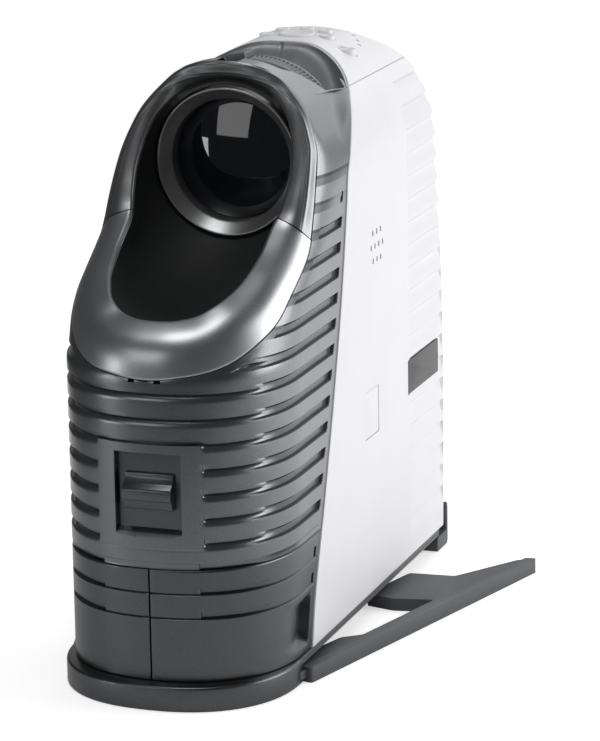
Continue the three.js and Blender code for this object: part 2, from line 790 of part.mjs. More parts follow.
// The hinge room in the plinth is the foot's tongue, swept through its swing.
function hingeRoom() {
  const sweepShares = [0, 0.5, 1];
  const wide = footTongue(footEyeRadius + gap, footEyeBottom - gap, footEyeTop + gap, plinthRear);
  const room = join(sweepShares.map((share) => placedFoot(wide, footSwingAngle * share)));
  const bore = turnedZ(rodProfile(footPinRadius + gap, footPinFloor - gap, footPinTop + gap), footPivotX,
    footPivotDepth, smallSteps);
  return room.add(bore);
}

function buildPlinth() {
  const outline = noseOutline(halfWidth + plinthProud, plinthRear, plinthRear);
  const rooms = hingeRoom();
  const pad = turnedZ(rodProfile(tiltFootRadius + gap, -overrun, tiltPadHeight + gap), 0, tiltFootDepth);
  const stem = turnedZ(rodProfile(tiltStemRadius + gap, -overrun, overrun), 0, tiltFootDepth, smallSteps);
  addPart('plinth', cut(prismZ(outline, 0, plinthHeight), [rooms, mirrored(rooms), pad, stem]),
    darkShell);
  const guide = tubeProfile(tiltStemRadius + gap, tiltGuideRadius, plinthHeight + gap, tiltGuideTop);
  addPart('tilt_guide', turnedZ(guide, 0, tiltFootDepth, smallSteps), blackPlastic);
  const foot = turnedZ(rodProfile(tiltFootRadius, tiltPadLift, tiltPadHeight), 0, tiltFootDepth)
    .add(turnedZ(rodProfile(tiltStemRadius, tiltPadLift, tiltStemTop), 0, tiltFootDepth, smallSteps));
  addPart('tilt_foot', foot, softRubber);
}

// Latch: a tray behind the window, a slider on it and the spring that lifts the slider.
const trayBack = frontInset + windowDepth;
const trayRear = trayBack + 2 * latchWall;
const sliderStem = 4;
const sliderCap = 5;
const sliderTipDepth = frontInset - shellInset;
const springCentre = trayRear + springRadius + springWire + gap;

function buildLatch() {
  const margin = latchWall + gap;
  const tray = box(-windowHalf - margin, windowHalf + margin, frontInset + shellWall, trayRear,
    windowBottom - margin, windowTop + margin);
  const pocket = box(-windowHalf, windowHalf, -overrun, trayBack, windowBottom, windowTop);
  const capBottom = sliderBottom + sliderTravel + 2 * gap;
  const capTop = sliderBottom + sliderHeight - latchWall;
  const slot = box(-sliderStem - gap, sliderStem + gap, trayBack - gap, trayRear + gap,
    capBottom - sliderTravel - gap, capTop + gap);
  const ledge = box(-sliderCap, sliderCap, trayRear - gap, springCentre + springRadius + springWire,
    windowBottom - margin, windowBottom);
  addPart('latch_tray', cut(tray, [pocket, slot, shellSolid(gap)]).add(ledge), darkShell);

  const middle = sliderBottom + sliderHeight * sliderNoseShare;
  const wedge = [[trayBack - gap, sliderBottom], [sliderTipDepth + latchWall, sliderBottom],
    [sliderTipDepth, middle],
    [sliderTipDepth, middle + latchWall], [trayBack - latchWall, sliderBottom + sliderHeight],
    [trayBack - gap, sliderBottom + sliderHeight]];
  const stem = box(-sliderStem, sliderStem, trayBack - 2 * gap, trayRear + 2 * gap, capBottom, capTop);
  const cap = box(-sliderCap, sliderCap, trayRear + gap, springCentre + springRadius, capBottom, capTop);
  addPart('latch_slider', join([prismX(wedge, -sliderWidth / 2, sliderWidth / 2), stem, cap]), darkShell);

  const start = windowBottom + gap + springWire;
  const rise = capBottom - gap - springWire - start;
  const rings = [];
  for (let i = 0; i <= springTurns * springSteps; i += 1) {
    const turn = (i / springSteps) * 2 * Math.PI;
    const height = start + (rise * i) / (springTurns * springSteps);
    rings.push(coilRing(turn, height));
  }
  addPart('latch_spring', loft(rings).translate([0, springCentre, 0]), bareSteel);
}

function coilRing(turn, height) {
  const ring = [];
  for (let j = 0; j < springSides; j += 1) {
    const angle = (j / springSides) * 2 * Math.PI;
    const radius = springRadius + springWire * Math.cos(angle);
    ring.push(new THREE.Vector3(radius * Math.cos(turn), radius * Math.sin(turn),
      height + springWire * Math.sin(angle)));
  }
  return ring;
}

// Lens: trim ring, barrel, glasses and the two control rings on the barrel.
const trimRingRear = lensFront + trimRingLength;
const barrelFront = trimRingRear + gap;

function ringWithGrip(start, width) {
  return turnedY(tubeProfile(barrelRadius + gap, controlRingRadius, start, start + width), 0, lensHeight,
    ringSteps);
}

function buildLens() {
  const trim = [[trimRingRadius - gap, lensFront], [trimRingRadius, lensFront + gap],
    [trimRingRadius, trimRingRear],
    [trimRingThroat, trimRingRear], [trimRingThroat, lensFront + trimConeLength]];
  addPart('lens_trim_ring', turnedY(trim, 0, lensHeight), silverTrim);

  const seat = trimRingThroat - gap;
  const barrelNose = lensFront + lensSetback;
  const barrel = [[barrelBore, barrelNose], [seat, barrelNose], [seat, barrelFront],
    [barrelRadius, barrelFront],
    [barrelRadius, engineFront - gap], [barrelBore, engineFront - gap]];
  addPart('lens_barrel', turnedY(barrel, 0, lensHeight), blackPlastic);

  addPart('front_lens', lensGlass(barrelNose + lensBulge, lensBulge, -1), coatedGlass);
  addPart('rear_lens', lensGlass(engineFront - lensBulge - rearLensGap, lensBulge, 1), coatedGlass);

  addPart('focus_ring', ringWithGrip(focusRingStart, focusRingWidth), blackPlastic);
  const lever = box(-leverWidth / 2, leverWidth / 2, zoomRingStart, zoomRingStart + zoomRingWidth,
    controlRingRadius - overlap, controlRingRadius + leverHeight).rotate([0, leverAngle, 0])
      .translate([0, 0, lensHeight]);
  addPart('zoom_ring', ringWithGrip(zoomRingStart, zoomRingWidth).add(lever), blackPlastic);
}

function lensGlass(flatDepth, bulge, direction) {
  const radius = barrelBore - gap;
  const profile = [[0, flatDepth - direction * bulge / 2], [radius, flatDepth - direction * bulge / 2],
    [radius, flatDepth]];
  const bulgeShares = [0.75, 0.4, 0];
  bulgeShares.forEach((share) => profile.push([radius * share,
    flatDepth + direction * bulge * (1 - share ** 2)]));
  return turnedY(profile, 0, lensHeight, 2 * smallSteps);
}

// Recess behind the hood: a wall that follows the roof rim and clears the lens rings.
function buildRecess() {
  const outline = [];
  const inner = [];
  const wallHalf = recessCornerX - gap;
  for (let i = -curveSteps; i <= curveSteps; i += 1) {
    const x = (wallHalf * i) / curveSteps;
    outline.push([x, rimDepth(x, gap)]);
    inner.push([x * (1 - recessWallShare), rimDepth(x, gap + recessWallThickness)]);
  }
  const crescent = prismZ([...outline, ...inner.reverse()], recessWallBottom, bodyHeight + overrun);
  const clearBore = turnedY(rodProfile(controlRingRadius + leverHeight + gap, -overrun,
    zoomRingStart + zoomRingWidth + gap), 0, lensHeight);
  const roof = bodySolid(gap, mainRoof, -overrun);
  const hood = bodySolid(shellInset + gap, hoodRoof, -overrun);
  const barrel = turnedY(rodProfile(barrelRadius + gap, 0, bodyDepth), 0, lensHeight);
  const engine = box(frameX, engineRight + gap, engineFront - gap, bodyDepth, 0, engineTop + gap);
  const wall = cut(crescent.intersect(roof).intersect(hood),
    [clearBore, barrel, engine, shellSolid(gap)]);
  addPart('recess_wall', largest(wall), silverTrim);
}

// White housing: side panels, roof cover and rear panel, cut from one body skin.
function skin(inset, wall) {
  return bodySolid(inset, mainRoof, panelBottom).subtract(bodySolid(inset + wall, mainRoof, -overrun));
}

const whiteSkin = skin(0, sideWall);

const sideHalf = (z) => Math.min(halfWidth, bodyWidth * along(roofHeightShares, roofWidthShares,
  z / bodyHeight));

function ribCuts() {
  const wedges = [];
  for (let k = 0; k < sideRibCount; k += 1) {
    const top = topSideRibHeight - groovePitch * k;
    const foot = top - groovePitch + gap;
    const outline = [[sideHalf(top) - sideRibDepth, top], [bodyWidth, top], [bodyWidth, foot],
      [sideHalf(foot), foot]];
    wedges.push(prismY(outline, sideRibStart, sideRibEnd));
  }
  return join(wedges);
}

function grilleSlits() {
  const slits = [];
  grilleRowCounts.forEach((count, row) => {
    const height = speakerHeight + grilleRowPitch * (1 - row);
    for (let i = 0; i < count; i += 1) {
      const depth = speakerDepth + grillePitch * (i - (count - 1) / 2);
      slits.push(box(0, bodyWidth, depth - grilleSlitWidth / 2, depth + grilleSlitWidth / 2,
        height - grilleSlitHeight / 2, height + grilleSlitHeight / 2));
    }
  });
  return join(slits);
}

function buildSidePanels() {
  const above = box(-bodyWidth, bodyWidth, -overrun, bodyDepth + overrun, sideSeamHeight,
    bodyHeight + overrun);
  const middle = box(-bodyWidth, rearPanelHalf + gap / 2, -overrun, bodyDepth + overrun, -overrun,
    bodyHeight + overrun);
  const plain = cut(whiteSkin.intersect(behindSeam(gap / 2)), [above, middle, ribCuts()]);
  addPart('side_panel_left', mirrored(plain), whitePlastic);
  const pocketCore = bodySolid(platePocket, mainRoof, -overrun);
  const pockets = box(0, bodyWidth, labelStart, labelEnd, labelBottom, labelTop)
    .add(box(0, bodyWidth, badgeStart, badgeEnd, badgeBottom, badgeTop)).subtract(pocketCore);
  addPart('side_panel_right', cut(plain, [pockets, grilleSlits()]), whitePlastic);
  const plates = skin(platePocket - plateThickness, plateThickness - gap);
  const inPocket = (start, end, bottom, top) => plates.intersect(
    box(rearPanelHalf, bodyWidth, start + gap, end - gap, bottom + gap, top - gap));
  addPart('label_plate', inPocket(labelStart, labelEnd, labelBottom, labelTop), blackPlastic);
  addPart('badge_plate', inPocket(badgeStart, badgeEnd, badgeBottom, badgeTop), whitePlastic);

  const inside = halfWidth - sideWall - gap;
  const cone = [[0, inside - speakerRimDepth], [speakerRadius - 2 * latchWall, inside - latchWall],
    [speakerRadius - 2 * latchWall, inside],
    [speakerRadius, inside], [speakerRadius, inside - speakerRimDepth],
      [speakerMagnetRadius, inside - speakerRimDepth - latchWall],
    [speakerMagnetRadius, inside - speakerLength], [0, inside - speakerLength]];
  addPart('speaker', turnedX(cone, speakerDepth, speakerHeight, smallSteps * 2), blackPlastic);
}

// Height of the roof's outer surface, and the controls set in it.
const roofWidths = [0, ...roofWidthShares.slice().reverse()];
const roofHeights = [roofHeightShares.at(-1), ...roofHeightShares.slice().reverse()];
const roofHeight = (x) => bodyHeight * along(roofWidths, roofHeights, Math.abs(x) / bodyWidth);

const powerDepthAt = rimDepth(powerX) + powerSetback;
const ringButtons = buttonAngles.map((angle, i) => ({
  name: `control_button_${i + 1}`,
  x: buttonRing * Math.cos((angle * Math.PI) / 180),
  y: controlDepth + buttonRing * Math.sin((angle * Math.PI) / 180),
  radius: smallButtonRadius,
}));
const buttons = [
  { name: 'navigation_pad', x: 0, y: controlDepth, radius: navRadius },
  { name: 'power_button', x: powerX, y: powerDepthAt, radius: powerRadius },
  ...ringButtons,
];

function buildRoof() {
  const below = box(-bodyWidth, bodyWidth, -overrun, bodyDepth + overrun, -overrun, sideSeamHeight + gap);
  const front = [];
  for (let i = -curveSteps; i <= curveSteps; i += 1) {
    const x = (halfWidth * i) / curveSteps;
    front.push([x, rimDepth(x)]);
  }
  const ahead = prismZ([[-bodyWidth, -overrun], [-bodyWidth, rimDepth(bodyWidth)], ...front,
    [bodyWidth, rimDepth(bodyWidth)], [bodyWidth, -overrun]].reverse(), 0, bodyHeight + overrun);
  const holes = buttons.map(({ x, y, radius }) => turnedZ(rodProfile(radius + gap, sideSeamHeight,
    bodyHeight + overrun), x, y, smallSteps));
  const dots = dotAngles.flatMap((angle) => [angle, 180 - angle]).map((angle) => {
    const turn = (angle * Math.PI) / 180;
    const x = dotRing * Math.cos(turn);
    return turnedZ(rodProfile(dotRadius, roofHeight(x) - dotSink, bodyHeight + overrun), x,
      controlDepth + dotRing * Math.sin(turn), smallSteps / 2);
  });
  const cover = cut(whiteSkin.intersect(behindSeam(gap / 2)), [below, ahead, join(holes), join(dots)]);
  addPart('top_cover', cover, whitePlastic);

  const underRoof = bodySolid(sideWall + gap, mainRoof, -overrun);
  buttons.forEach(({ name, x, y, radius }) => {
    const top = roofHeight(x) + buttonProud;
    const stem = turnedZ(rodProfile(radius, top - buttonStem, top), x, y, smallSteps);
    const flange = turnedZ(rodProfile(radius + buttonFlange, top - buttonStem - buttonFlange, top), x, y,
      smallSteps);
    addPart(name, stem.add(flange.intersect(underRoof)), whitePlastic);
  });
}

function buildRear() {
  const sides = box(-rearPanelHalf, rearPanelHalf, rearRegionFront, bodyDepth, 0, sideSeamHeight);
  const slots = [];
  for (let i = 0; i < ventSlotCount; i += 1) {
    const bottom = ventBottom + ventSlotPitch * i;
    slots.push(box(-ventHalf, ventHalf, rearRegionFront, bodyDepth, bottom, bottom + ventSlotHeight));
  }
  const inletHole = box(-inletWidth / 2 - gap, inletWidth / 2 + gap, rearRegionFront, bodyDepth,
    inletHeight - inletTall / 2 - gap, inletHeight + inletTall / 2 + gap);
  const plateRoom = box(-connectorPlateHalf - gap, connectorPlateHalf + gap, rearRegionFront, bodyDepth,
    connectorPlateBottom - gap, connectorPlateTop + gap)
      .subtract(bodySolid(connectorPocket + gap, mainRoof, -overrun));
  const eye = turnedY(rodProfile(irWindowRadius + gap, rearRegionFront, bodyDepth), 0, irWindowHeight,
    smallSteps);
  addPart('rear_panel', cut(whiteSkin.intersect(sides), [join(slots), inletHole, plateRoom, eye]),
    whitePlastic);

  const plate = skin(connectorPlateInset, connectorPocket - connectorPlateInset)
    .intersect(box(-connectorPlateHalf, connectorPlateHalf, rearRegionFront, bodyDepth,
      connectorPlateBottom, connectorPlateTop));
  addPart('connector_plate', plate, blackPlastic);
  const eyeGlass = skin(0, sideWall).intersect(turnedY(rodProfile(irWindowRadius, rearRegionFront,
    bodyDepth), 0, irWindowHeight, smallSteps));
  addPart('ir_window', eyeGlass, coatedGlass);

  const outside = bodySolid(connectorPlateInset - gap, mainRoof, -overrun);
  const proudSkin = bodySolid(connectorPlateInset - gap - socketProud, mainRoof, -overrun)
    .subtract(outside);
  const blockSocket = (x, z, width, tall) => {
    const body = box(x - width / 2, x + width / 2, rearRegionFront, bodyDepth, z - tall / 2,
      z + tall / 2);
    const mouth = box(x - width / 2 + videoSocketWall, x + width / 2 - videoSocketWall, rearRegionFront,
      bodyDepth,
      z - tall / 2 + videoSocketWall, z + tall / 2 - videoSocketWall);
    return proudSkin.intersect(body).subtract(mouth);
  };
  addPart('video_socket', blockSocket(0, videoSocketHeight, videoSocketWidth, videoSocketTall),
    bareSteel);
  addPart('data_socket', blockSocket(dataSocketX, roundSocketPlaces[0][1], dataSocketWidth,
    dataSocketTall), bareSteel);
  const tubes = roundSocketPlaces.map(([x, z]) => turnedY(
    tubeProfile(roundSocketBore, roundSocketRadius, rearRegionFront, bodyDepth), x, z, roundSocketSteps));
  const jackXs = roundSocketPlaces.map(([x]) => x);
  const jackZs = roundSocketPlaces.map(([, z]) => z);
  const strip = box(Math.min(...jackXs) - roundSocketRadius, Math.max(...jackXs) + roundSocketRadius,
    rearRegionFront,
    bodyDepth, Math.min(...jackZs) - roundSocketRadius, Math.max(...jackZs) + roundSocketRadius);
  const bores = roundSocketPlaces.map(([x, z]) => turnedY(
    rodProfile(roundSocketBore, rearRegionFront, bodyDepth), x, z, roundSocketSteps));
  const thinSkin = bodySolid(connectorPlateInset - gap - jackStripProud, mainRoof, -overrun)
    .subtract(outside);
  addPart('jack_block', cut(proudSkin.intersect(join(tubes)).add(thinSkin.intersect(strip)), bores),
    bareSteel);

  const inletRear = rearDepth(inletHeight) - gap;
  const inletBody = box(-inletWidth / 2, inletWidth / 2, inletFront, inletRear,
    inletHeight - inletTall / 2, inletHeight + inletTall / 2);
  const inletMouth = box(-inletWidth / 2 + inletWall, inletWidth / 2 - inletWall, inletFront + inletWall,
    bodyDepth,
    inletHeight - inletTall / 2 + inletWall, inletHeight + inletTall / 2 - inletWall);
  const pins = [-1, 0, 1].map((step) => box(step * inletPinPitch - inletPinSize / 2,
    step * inletPinPitch + inletPinSize / 2,
    inletFront, inletFront + inletWall + inletPinLength, inletHeight - inletPinSize,
      inletHeight + inletPinSize));
  addPart('power_inlet', join([inletBody.subtract(inletMouth), ...pins]), blackPlastic);
}

// Base pan with a ledge under the panels, and the rear feet.
function buildBase() {
  const plan = (inset, rear, top) => {
    const half = halfWidth - inset;
    const corner = rearCorner;
    const back = cornerOutline(half, rear, corner);
    return prismZ([[half, plinthRear + gap], [-half, plinthRear + gap], ...back], baseBottom, top);
  };
  const lower = plan(baseInset, baseRear, basePlateTop);
  const upper = plan(baseCoreInset, baseRear - baseCoreInset, baseTop);
  const covers = coverKeepOut(gap);
  const pins = turnedZ(rodProfile(footPinRadius + 2 * gap, 0, baseTop), footPivotX, footPivotDepth,
    smallSteps);
  addPart('base_pan', cut(lower.add(upper), [covers, pins]), footGrey);

  const side = [[rearFootFront, 0], [bodyDepth - rearFootChamfer, 0], [bodyDepth, rearFootChamfer],
    [bodyDepth, rearFootTop - rearFootChamfer],
    [bodyDepth - rearFootChamfer / 2, rearFootTop], [rearHookStart, rearFootTop],
      [rearHookStart, baseBottom - gap],
    [rearFootFront + rearFootChamfer, baseBottom - gap], [rearFootFront, baseBottom - rearFootChamfer]];
  const foot = prismX(side, rearFootOuter - rearFootWidth, rearFootOuter);
  addPart('rear_foot_right', foot, footGrey);
  addPart('rear_foot_left', mirrored(foot), footGrey);
}

// Inner frame, and the engine, lamp, supply and boards that it carries.
function buildInside() {
  const left = frameX - frameThickness;
  const bottom = baseTop + gap;
  const wall = prismX([[frameFront, bottom], [frameRear, bottom], [frameRear, frameTop],
    [frameStep, frameTop],
    [frameStep, frameStepHeight], [frameFront, frameStepHeight]], left, frameX);
  const postHeights = [mainBoardBottom + boardGap, mainBoardTop - boardGap];
  const flange = box(frameX - frameThickness, frameX + frameFlange, frameFront, frameRear, bottom,
    bottom + frameThickness);
  const standoffTip = left - boardGap + gap;
  const posts = [mainBoardFront + boardGap, mainBoardRear - boardGap].flatMap((y) => postHeights
    .map((z) => turnedX(rodProfile(standoffRadius, standoffTip, left + gap), y, z, smallSteps)));
  addPart('inner_frame', join([wall, flange, ...posts]), bareSteel);

  const seat = frameX + gap;
  const supplyBottom = bottom + frameThickness + gap;
  const supply = box(seat, supplyRight, supplyFront, supplyRear, supplyBottom, supplyTop);
  const supplyRoom = box(seat + supplyWall, supplyRight - supplyWall, supplyFront + supplyWall,
    supplyRear + overlap,
    supplyBottom + supplyWall, supplyTop - supplyWall);
  addPart('power_supply', supply.subtract(supplyRoom), bareAluminium);

  addPart('optical_engine', box(seat, engineRight, engineFront, engineRear, engineBottom, engineTop),
    blackPlastic);
  const sinkFront = engineRear + gap;
  const slab = (from, to, depth) => box(from, to, sinkFront, sinkFront + depth, lensHeight - sinkHalf,
    lensHeight + sinkHalf);
  const fins = [slab(-sinkHalf, sinkHalf, sinkBaseThickness)];
  for (let i = 0; i < finCount; i += 1) {
    const x = -sinkHalf + (i * (2 * sinkHalf - finThickness)) / (finCount - 1);
    fins.push(slab(x, x + finThickness, sinkDepth));
  }
  addPart('heat_sink', join(fins), bareAluminium);

  const lampMiddle = (lampBottom + lampTop) / 2;
  const lampX = (seat + lampRight) / 2;
  const housing = box(seat, lampRight, lampFront, lampRear, lampBottom, lampTop);
  const room = box(seat + lampWall, lampRight - lampWall, lampFront - overlap, lampRear - lampWall,
    lampBottom + lampWall, lampTop - lampWall);
  addPart('lamp_housing', housing.subtract(room), bareAluminium);
  const throat = lampRear - lampWall - gap;
  const flare = reflectorRadius - reflectorThroat;
  const bowl = reflectorShares.map((share) => [reflectorThroat + flare * Math.sqrt(share),
    throat - reflectorLength * share]);
  const outerBowl = bowl.map(([radius, depth]) => [radius + reflectorWall, depth]).reverse();
  addPart('lamp_reflector', turnedY([...bowl, ...outerBowl], lampX, lampMiddle, smallSteps * 2),
    bareAluminium);
  addPart('lamp_burner', turnedY([[0, throat - burnerLength], [burnerRadius, throat - burnerLength],
    [burnerRadius, throat - gap],
    [reflectorThroat - gap, throat - gap], [reflectorThroat - gap, throat], [0, throat]], lampX,
      lampMiddle, smallSteps), coatedGlass);

  const motorRear = lampFront - gap;
  const motorBracket = box(wheelX - wheelMotorRadius, wheelX + wheelMotorRadius, motorRear - latchWall,
    motorRear,
    wheelHeight - wheelMotorRadius, lampTop);
  const motor = turnedY(rodProfile(wheelMotorRadius, motorRear - wheelMotorLength, motorRear), wheelX,
    wheelHeight, smallSteps);
  addPart('wheel_motor', motor.add(motorBracket), blackPlastic);
  const wheelRear = motorRear - wheelMotorLength - gap;
  const disc = turnedY(rodProfile(wheelRadius, wheelRear - wheelThickness, wheelRear), wheelX,
    wheelHeight)
    .add(turnedY(rodProfile(wheelHubRadius, wheelRear - wheelThickness - wheelHubThickness, wheelRear),
      wheelX, wheelHeight, smallSteps));
  addPart('colour_wheel', disc, coatedGlass);

  const boardRight = left - boardGap;
  const board = box(boardRight - boardThickness, boardRight, mainBoardFront, mainBoardRear,
    mainBoardBottom, mainBoardTop);
  const chipDepths = [mainBoardFront + chipSize, mainBoardRear - 2 * chipSize];
  const chips = chipDepths.map((y) => box(boardRight - boardThickness - chipHeight,
    boardRight - boardThickness / 2, y, y + chipSize,
    mainBoardTop - 2 * chipSize, mainBoardTop - chipSize));
  addPart('main_board', join([board, ...chips]), boardGreen);
}

function buildFan() {
  const half = fanSize / 2;
  const front = fanRear - fanThickness;
  const bore = turnedY(rodProfile(fanBore, front - overlap, fanRear + overlap), 0, fanHeight);
  const shroud = box(-half, half, front, fanRear, fanHeight - half, fanHeight + half).subtract(bore);
  const spider = [turnedY(rodProfile(fanHubRadius, front, front + fanSpiderThickness), 0, fanHeight,
    smallSteps)];
  for (let i = 0; i < fanSpiderArms; i += 1) {
    const arm = box(-fanArmWidth / 2, fanArmWidth / 2, front, front + fanSpiderThickness, 0,
      fanBore + gap);
    spider.push(arm.rotate([0, (360 * i) / fanSpiderArms, 0]).translate([0, 0, fanHeight]));
  }
  addPart('fan_frame', join([shroud, ...spider]), blackPlastic);
  const rotorFront = front + fanSpiderThickness + gap;
  const rotorRear = fanRear - gap;
  const middle = (rotorFront + rotorRear) / 2;
  const reach = (rotorRear - rotorFront) / 2 - fanBladeThickness;
  const rotor = [turnedY(rodProfile(fanHubRadius, rotorFront, rotorRear), 0, fanHeight, smallSteps * 2)];
  for (let i = 0; i < fanBladeCount; i += 1) {
    const blade = box(-fanBladeThickness / 2, fanBladeThickness / 2, -reach, reach, 0, fanBladeRadius)
      .rotate([0, 0, fanBladeTilt]);
    rotor.push(blade.rotate([0, (360 * i) / fanBladeCount, 0]).translate([0, middle, fanHeight]));
  }
  addPart('fan_rotor', join(rotor), blackPlastic);
}

buildFrontShell();
buildFaceTrims();
buildFunnel();
buildFrontCovers();
buildPlinth();
buildFeet();
buildLatch();
buildLens();
buildRecess();
buildSidePanels();
buildRoof();
buildRear();
buildBase();
buildInside();
buildFan();

export default projector;
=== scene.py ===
"""Dresses the upright projector: smooth shells, ribs, lens, panels, feet and their finishes."""
import math

import bpy
import bmesh
import numpy as np
from mathutils import Matrix, Vector


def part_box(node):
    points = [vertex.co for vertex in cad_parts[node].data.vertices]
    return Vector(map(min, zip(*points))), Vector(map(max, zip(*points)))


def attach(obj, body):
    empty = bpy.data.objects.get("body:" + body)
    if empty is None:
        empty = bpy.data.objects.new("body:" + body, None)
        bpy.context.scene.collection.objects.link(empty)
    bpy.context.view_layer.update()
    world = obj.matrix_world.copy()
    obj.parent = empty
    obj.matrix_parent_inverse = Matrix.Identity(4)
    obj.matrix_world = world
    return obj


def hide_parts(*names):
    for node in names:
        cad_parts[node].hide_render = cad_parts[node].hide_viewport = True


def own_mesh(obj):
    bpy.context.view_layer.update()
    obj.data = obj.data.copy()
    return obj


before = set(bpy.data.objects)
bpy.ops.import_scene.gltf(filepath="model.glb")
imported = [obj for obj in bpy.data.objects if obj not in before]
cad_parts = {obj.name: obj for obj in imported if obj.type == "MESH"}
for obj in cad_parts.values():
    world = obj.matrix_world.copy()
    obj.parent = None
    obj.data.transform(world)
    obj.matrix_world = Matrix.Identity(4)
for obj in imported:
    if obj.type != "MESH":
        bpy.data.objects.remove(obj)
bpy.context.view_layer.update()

# Sizes are in millimetres, with depths measured back from the front of the plinth.
# place() turns them into metres and moves the whole projector forward by half its depth.
BODY_WIDTH = 98.0
BODY_DEPTH = 256.0
BODY_HEIGHT = 249.0
SHELL_INSET = 0.5
SHELL_WALL = 2.6
PANEL_WALL = 2.4
GAP = 0.3
NOSE_LENGTH = 52.0
NOSE_ROUNDNESS = 2.3
FRONT_INSET = 6.0
REAR_CORNER = 5.0
COVER_TOP = 57.9
PLINTH_HEIGHT = 10.6
SIDE_SEAM_HEIGHT = 231.0
REAR_PANEL_HALF = 35.0
PANEL_BOTTOM = 10.4
LENS_HEIGHT = 205.4
RIM_CENTRE_DEPTH = 179.0
RIM_REACH = 46.0
RIM_HALF_WIDTH = 46.0
RIM_POWER = 3

# Groove rows: height of the top edge of the highest full groove, and the step between rows.
GROOVE_PITCH = 10.26
TOP_GROOVE = 183.9
GROOVE_COUNT = 13
SHORT_GROOVES = 2
WINDOW = (15.0, 70.5, 106.0)

# Tables of shares of the body's height, depth or width, as in the solids.
NOSE_LEVELS = [0.03, 0.3, 0.546, 0.57, 0.61, 0.643, 0.667, 0.699, 0.723, 0.771, 0.807,
               0.843, 0.888, 0.916, 0.944, 0.972, 1.02]
NOSE_LEANS = [0, 0, 0, 0.011, 0.024, 0.047, 0.078, 0.125, 0.157, 0.192, 0.219,
              0.25, 0.295, 0.323, 0.35, 0.371, 0.383]
REAR_LEVELS = [0.03, 0.273, 0.466, 0.59, 0.659, 0.731, 0.795, 0.863, 0.912, 0.948, 0.976, 1.02]
REAR_DEPTHS = [0.988, 0.994, 0.99, 0.984, 0.978, 0.97, 0.962, 0.947, 0.928, 0.898, 0.863, 0.8]
ROOF_WIDTHS = [0.51, 0.496, 0.474, 0.449, 0.418, 0.388, 0.347, 0.306, 0.245, 0.184, 0.122, 0.0]
ROOF_HEIGHTS = [0.8, 0.827, 0.855, 0.886, 0.911, 0.927, 0.941, 0.952, 0.965, 0.9755, 0.982, 0.984]
HOOD_WIDTHS = [0.51, 0.496, 0.471, 0.444, 0.421, 0.382, 0.344, 0.299, 0.241, 0.151, 0.08, 0.0]
HOOD_HEIGHTS = [0.8, 0.823, 0.851, 0.873, 0.888, 0.913, 0.935, 0.954, 0.974, 0.99, 0.9955, 0.997]
SEAM_LEVELS = [0.02, 0.12, 0.278, 0.437, 0.598, 0.761, 0.8, 0.827, 0.855, 0.886, 0.911, 0.93, 1.05]
SEAM_DEPTHS = [0.25, 0.271, 0.325, 0.377, 0.424, 0.461, 0.468, 0.486, 0.512, 0.542, 0.572, 0.6, 0.6]
FACE_OUTER_X = [0, 0.12, 0.245, 0.332, 0.388, 0.436, 0.461, 0.471, 0.476, 0.477, 0.471,
                0.467, 0.463, 0.457, 0.449, 0.437, 0.414, 0.383, 0.343, 0.296, 0.239, 0.149, 0]
FACE_OUTER_Z = [0.546, 0.55, 0.558, 0.57, 0.586, 0.606, 0.627, 0.651, 0.675, 0.701,
                0.727, 0.751, 0.777, 0.803, 0.831, 0.859, 0.884, 0.91, 0.932, 0.952, 0.971, 0.987, 0.993]
FACE_INNER_X = [0, 0.082, 0.156, 0.199, 0.238, 0.266, 0.292, 0.308, 0.318, 0.32, 0.322,
                 0.333, 0.343, 0.348, 0.349, 0.345, 0.338, 0.323, 0.303, 0.268, 0.219, 0.145, 0]
FACE_INNER_Z = [0.633, 0.634, 0.639, 0.647, 0.657, 0.667, 0.681, 0.698, 0.715, 0.733,
                0.751, 0.77, 0.792, 0.811, 0.829, 0.847, 0.866, 0.885, 0.902, 0.919, 0.936, 0.952, 0.964]
FACE_INNER_Y = [0.076, 0.08, 0.094, 0.105, 0.121, 0.143, 0.17, 0.201, 0.232, 0.26, 0.287,
                0.309, 0.324, 0.337, 0.348, 0.358, 0.368, 0.378, 0.389, 0.402, 0.416, 0.431, 0.444]
JOINT_STATION = 10


# Curves.
def slopes_of(keys, values):
    """Monotone slopes: the harmonic mean of the two neighbouring slopes, zero where they turn."""
    steps = np.diff(keys)
    rates = np.diff(values) / steps
    slopes = np.zeros(len(keys))
    same = rates[:-1] * rates[1:] > 0
    with np.errstate(divide="ignore", invalid="ignore"):
        mean = 2 * rates[:-1] * rates[1:] / (rates[:-1] + rates[1:])
    slopes[1:-1] = np.where(same, mean, 0)
    slopes[0], slopes[-1] = rates[0], rates[-1]
    return slopes


def table(keys, values, at):
    """Cubic pieces through (keys, values), which never overshoot, read at the values of at."""
    keys, values = np.asarray(keys, float), np.asarray(values, float)
    slopes = slopes_of(keys, values)
    at = np.clip(np.asarray(at, float), keys[0], keys[-1])
    i = np.clip(np.searchsorted(keys, at) - 1, 0, len(keys) - 2)
    step = keys[i + 1] - keys[i]
    t = (at - keys[i]) / step
    return ((1 + 2 * t) * (1 - t) ** 2 * values[i] + t * (1 - t) ** 2 * step * slopes[i]
            + t * t * (3 - 2 * t) * values[i + 1] + t * t * (t - 1) * step * slopes[i + 1])


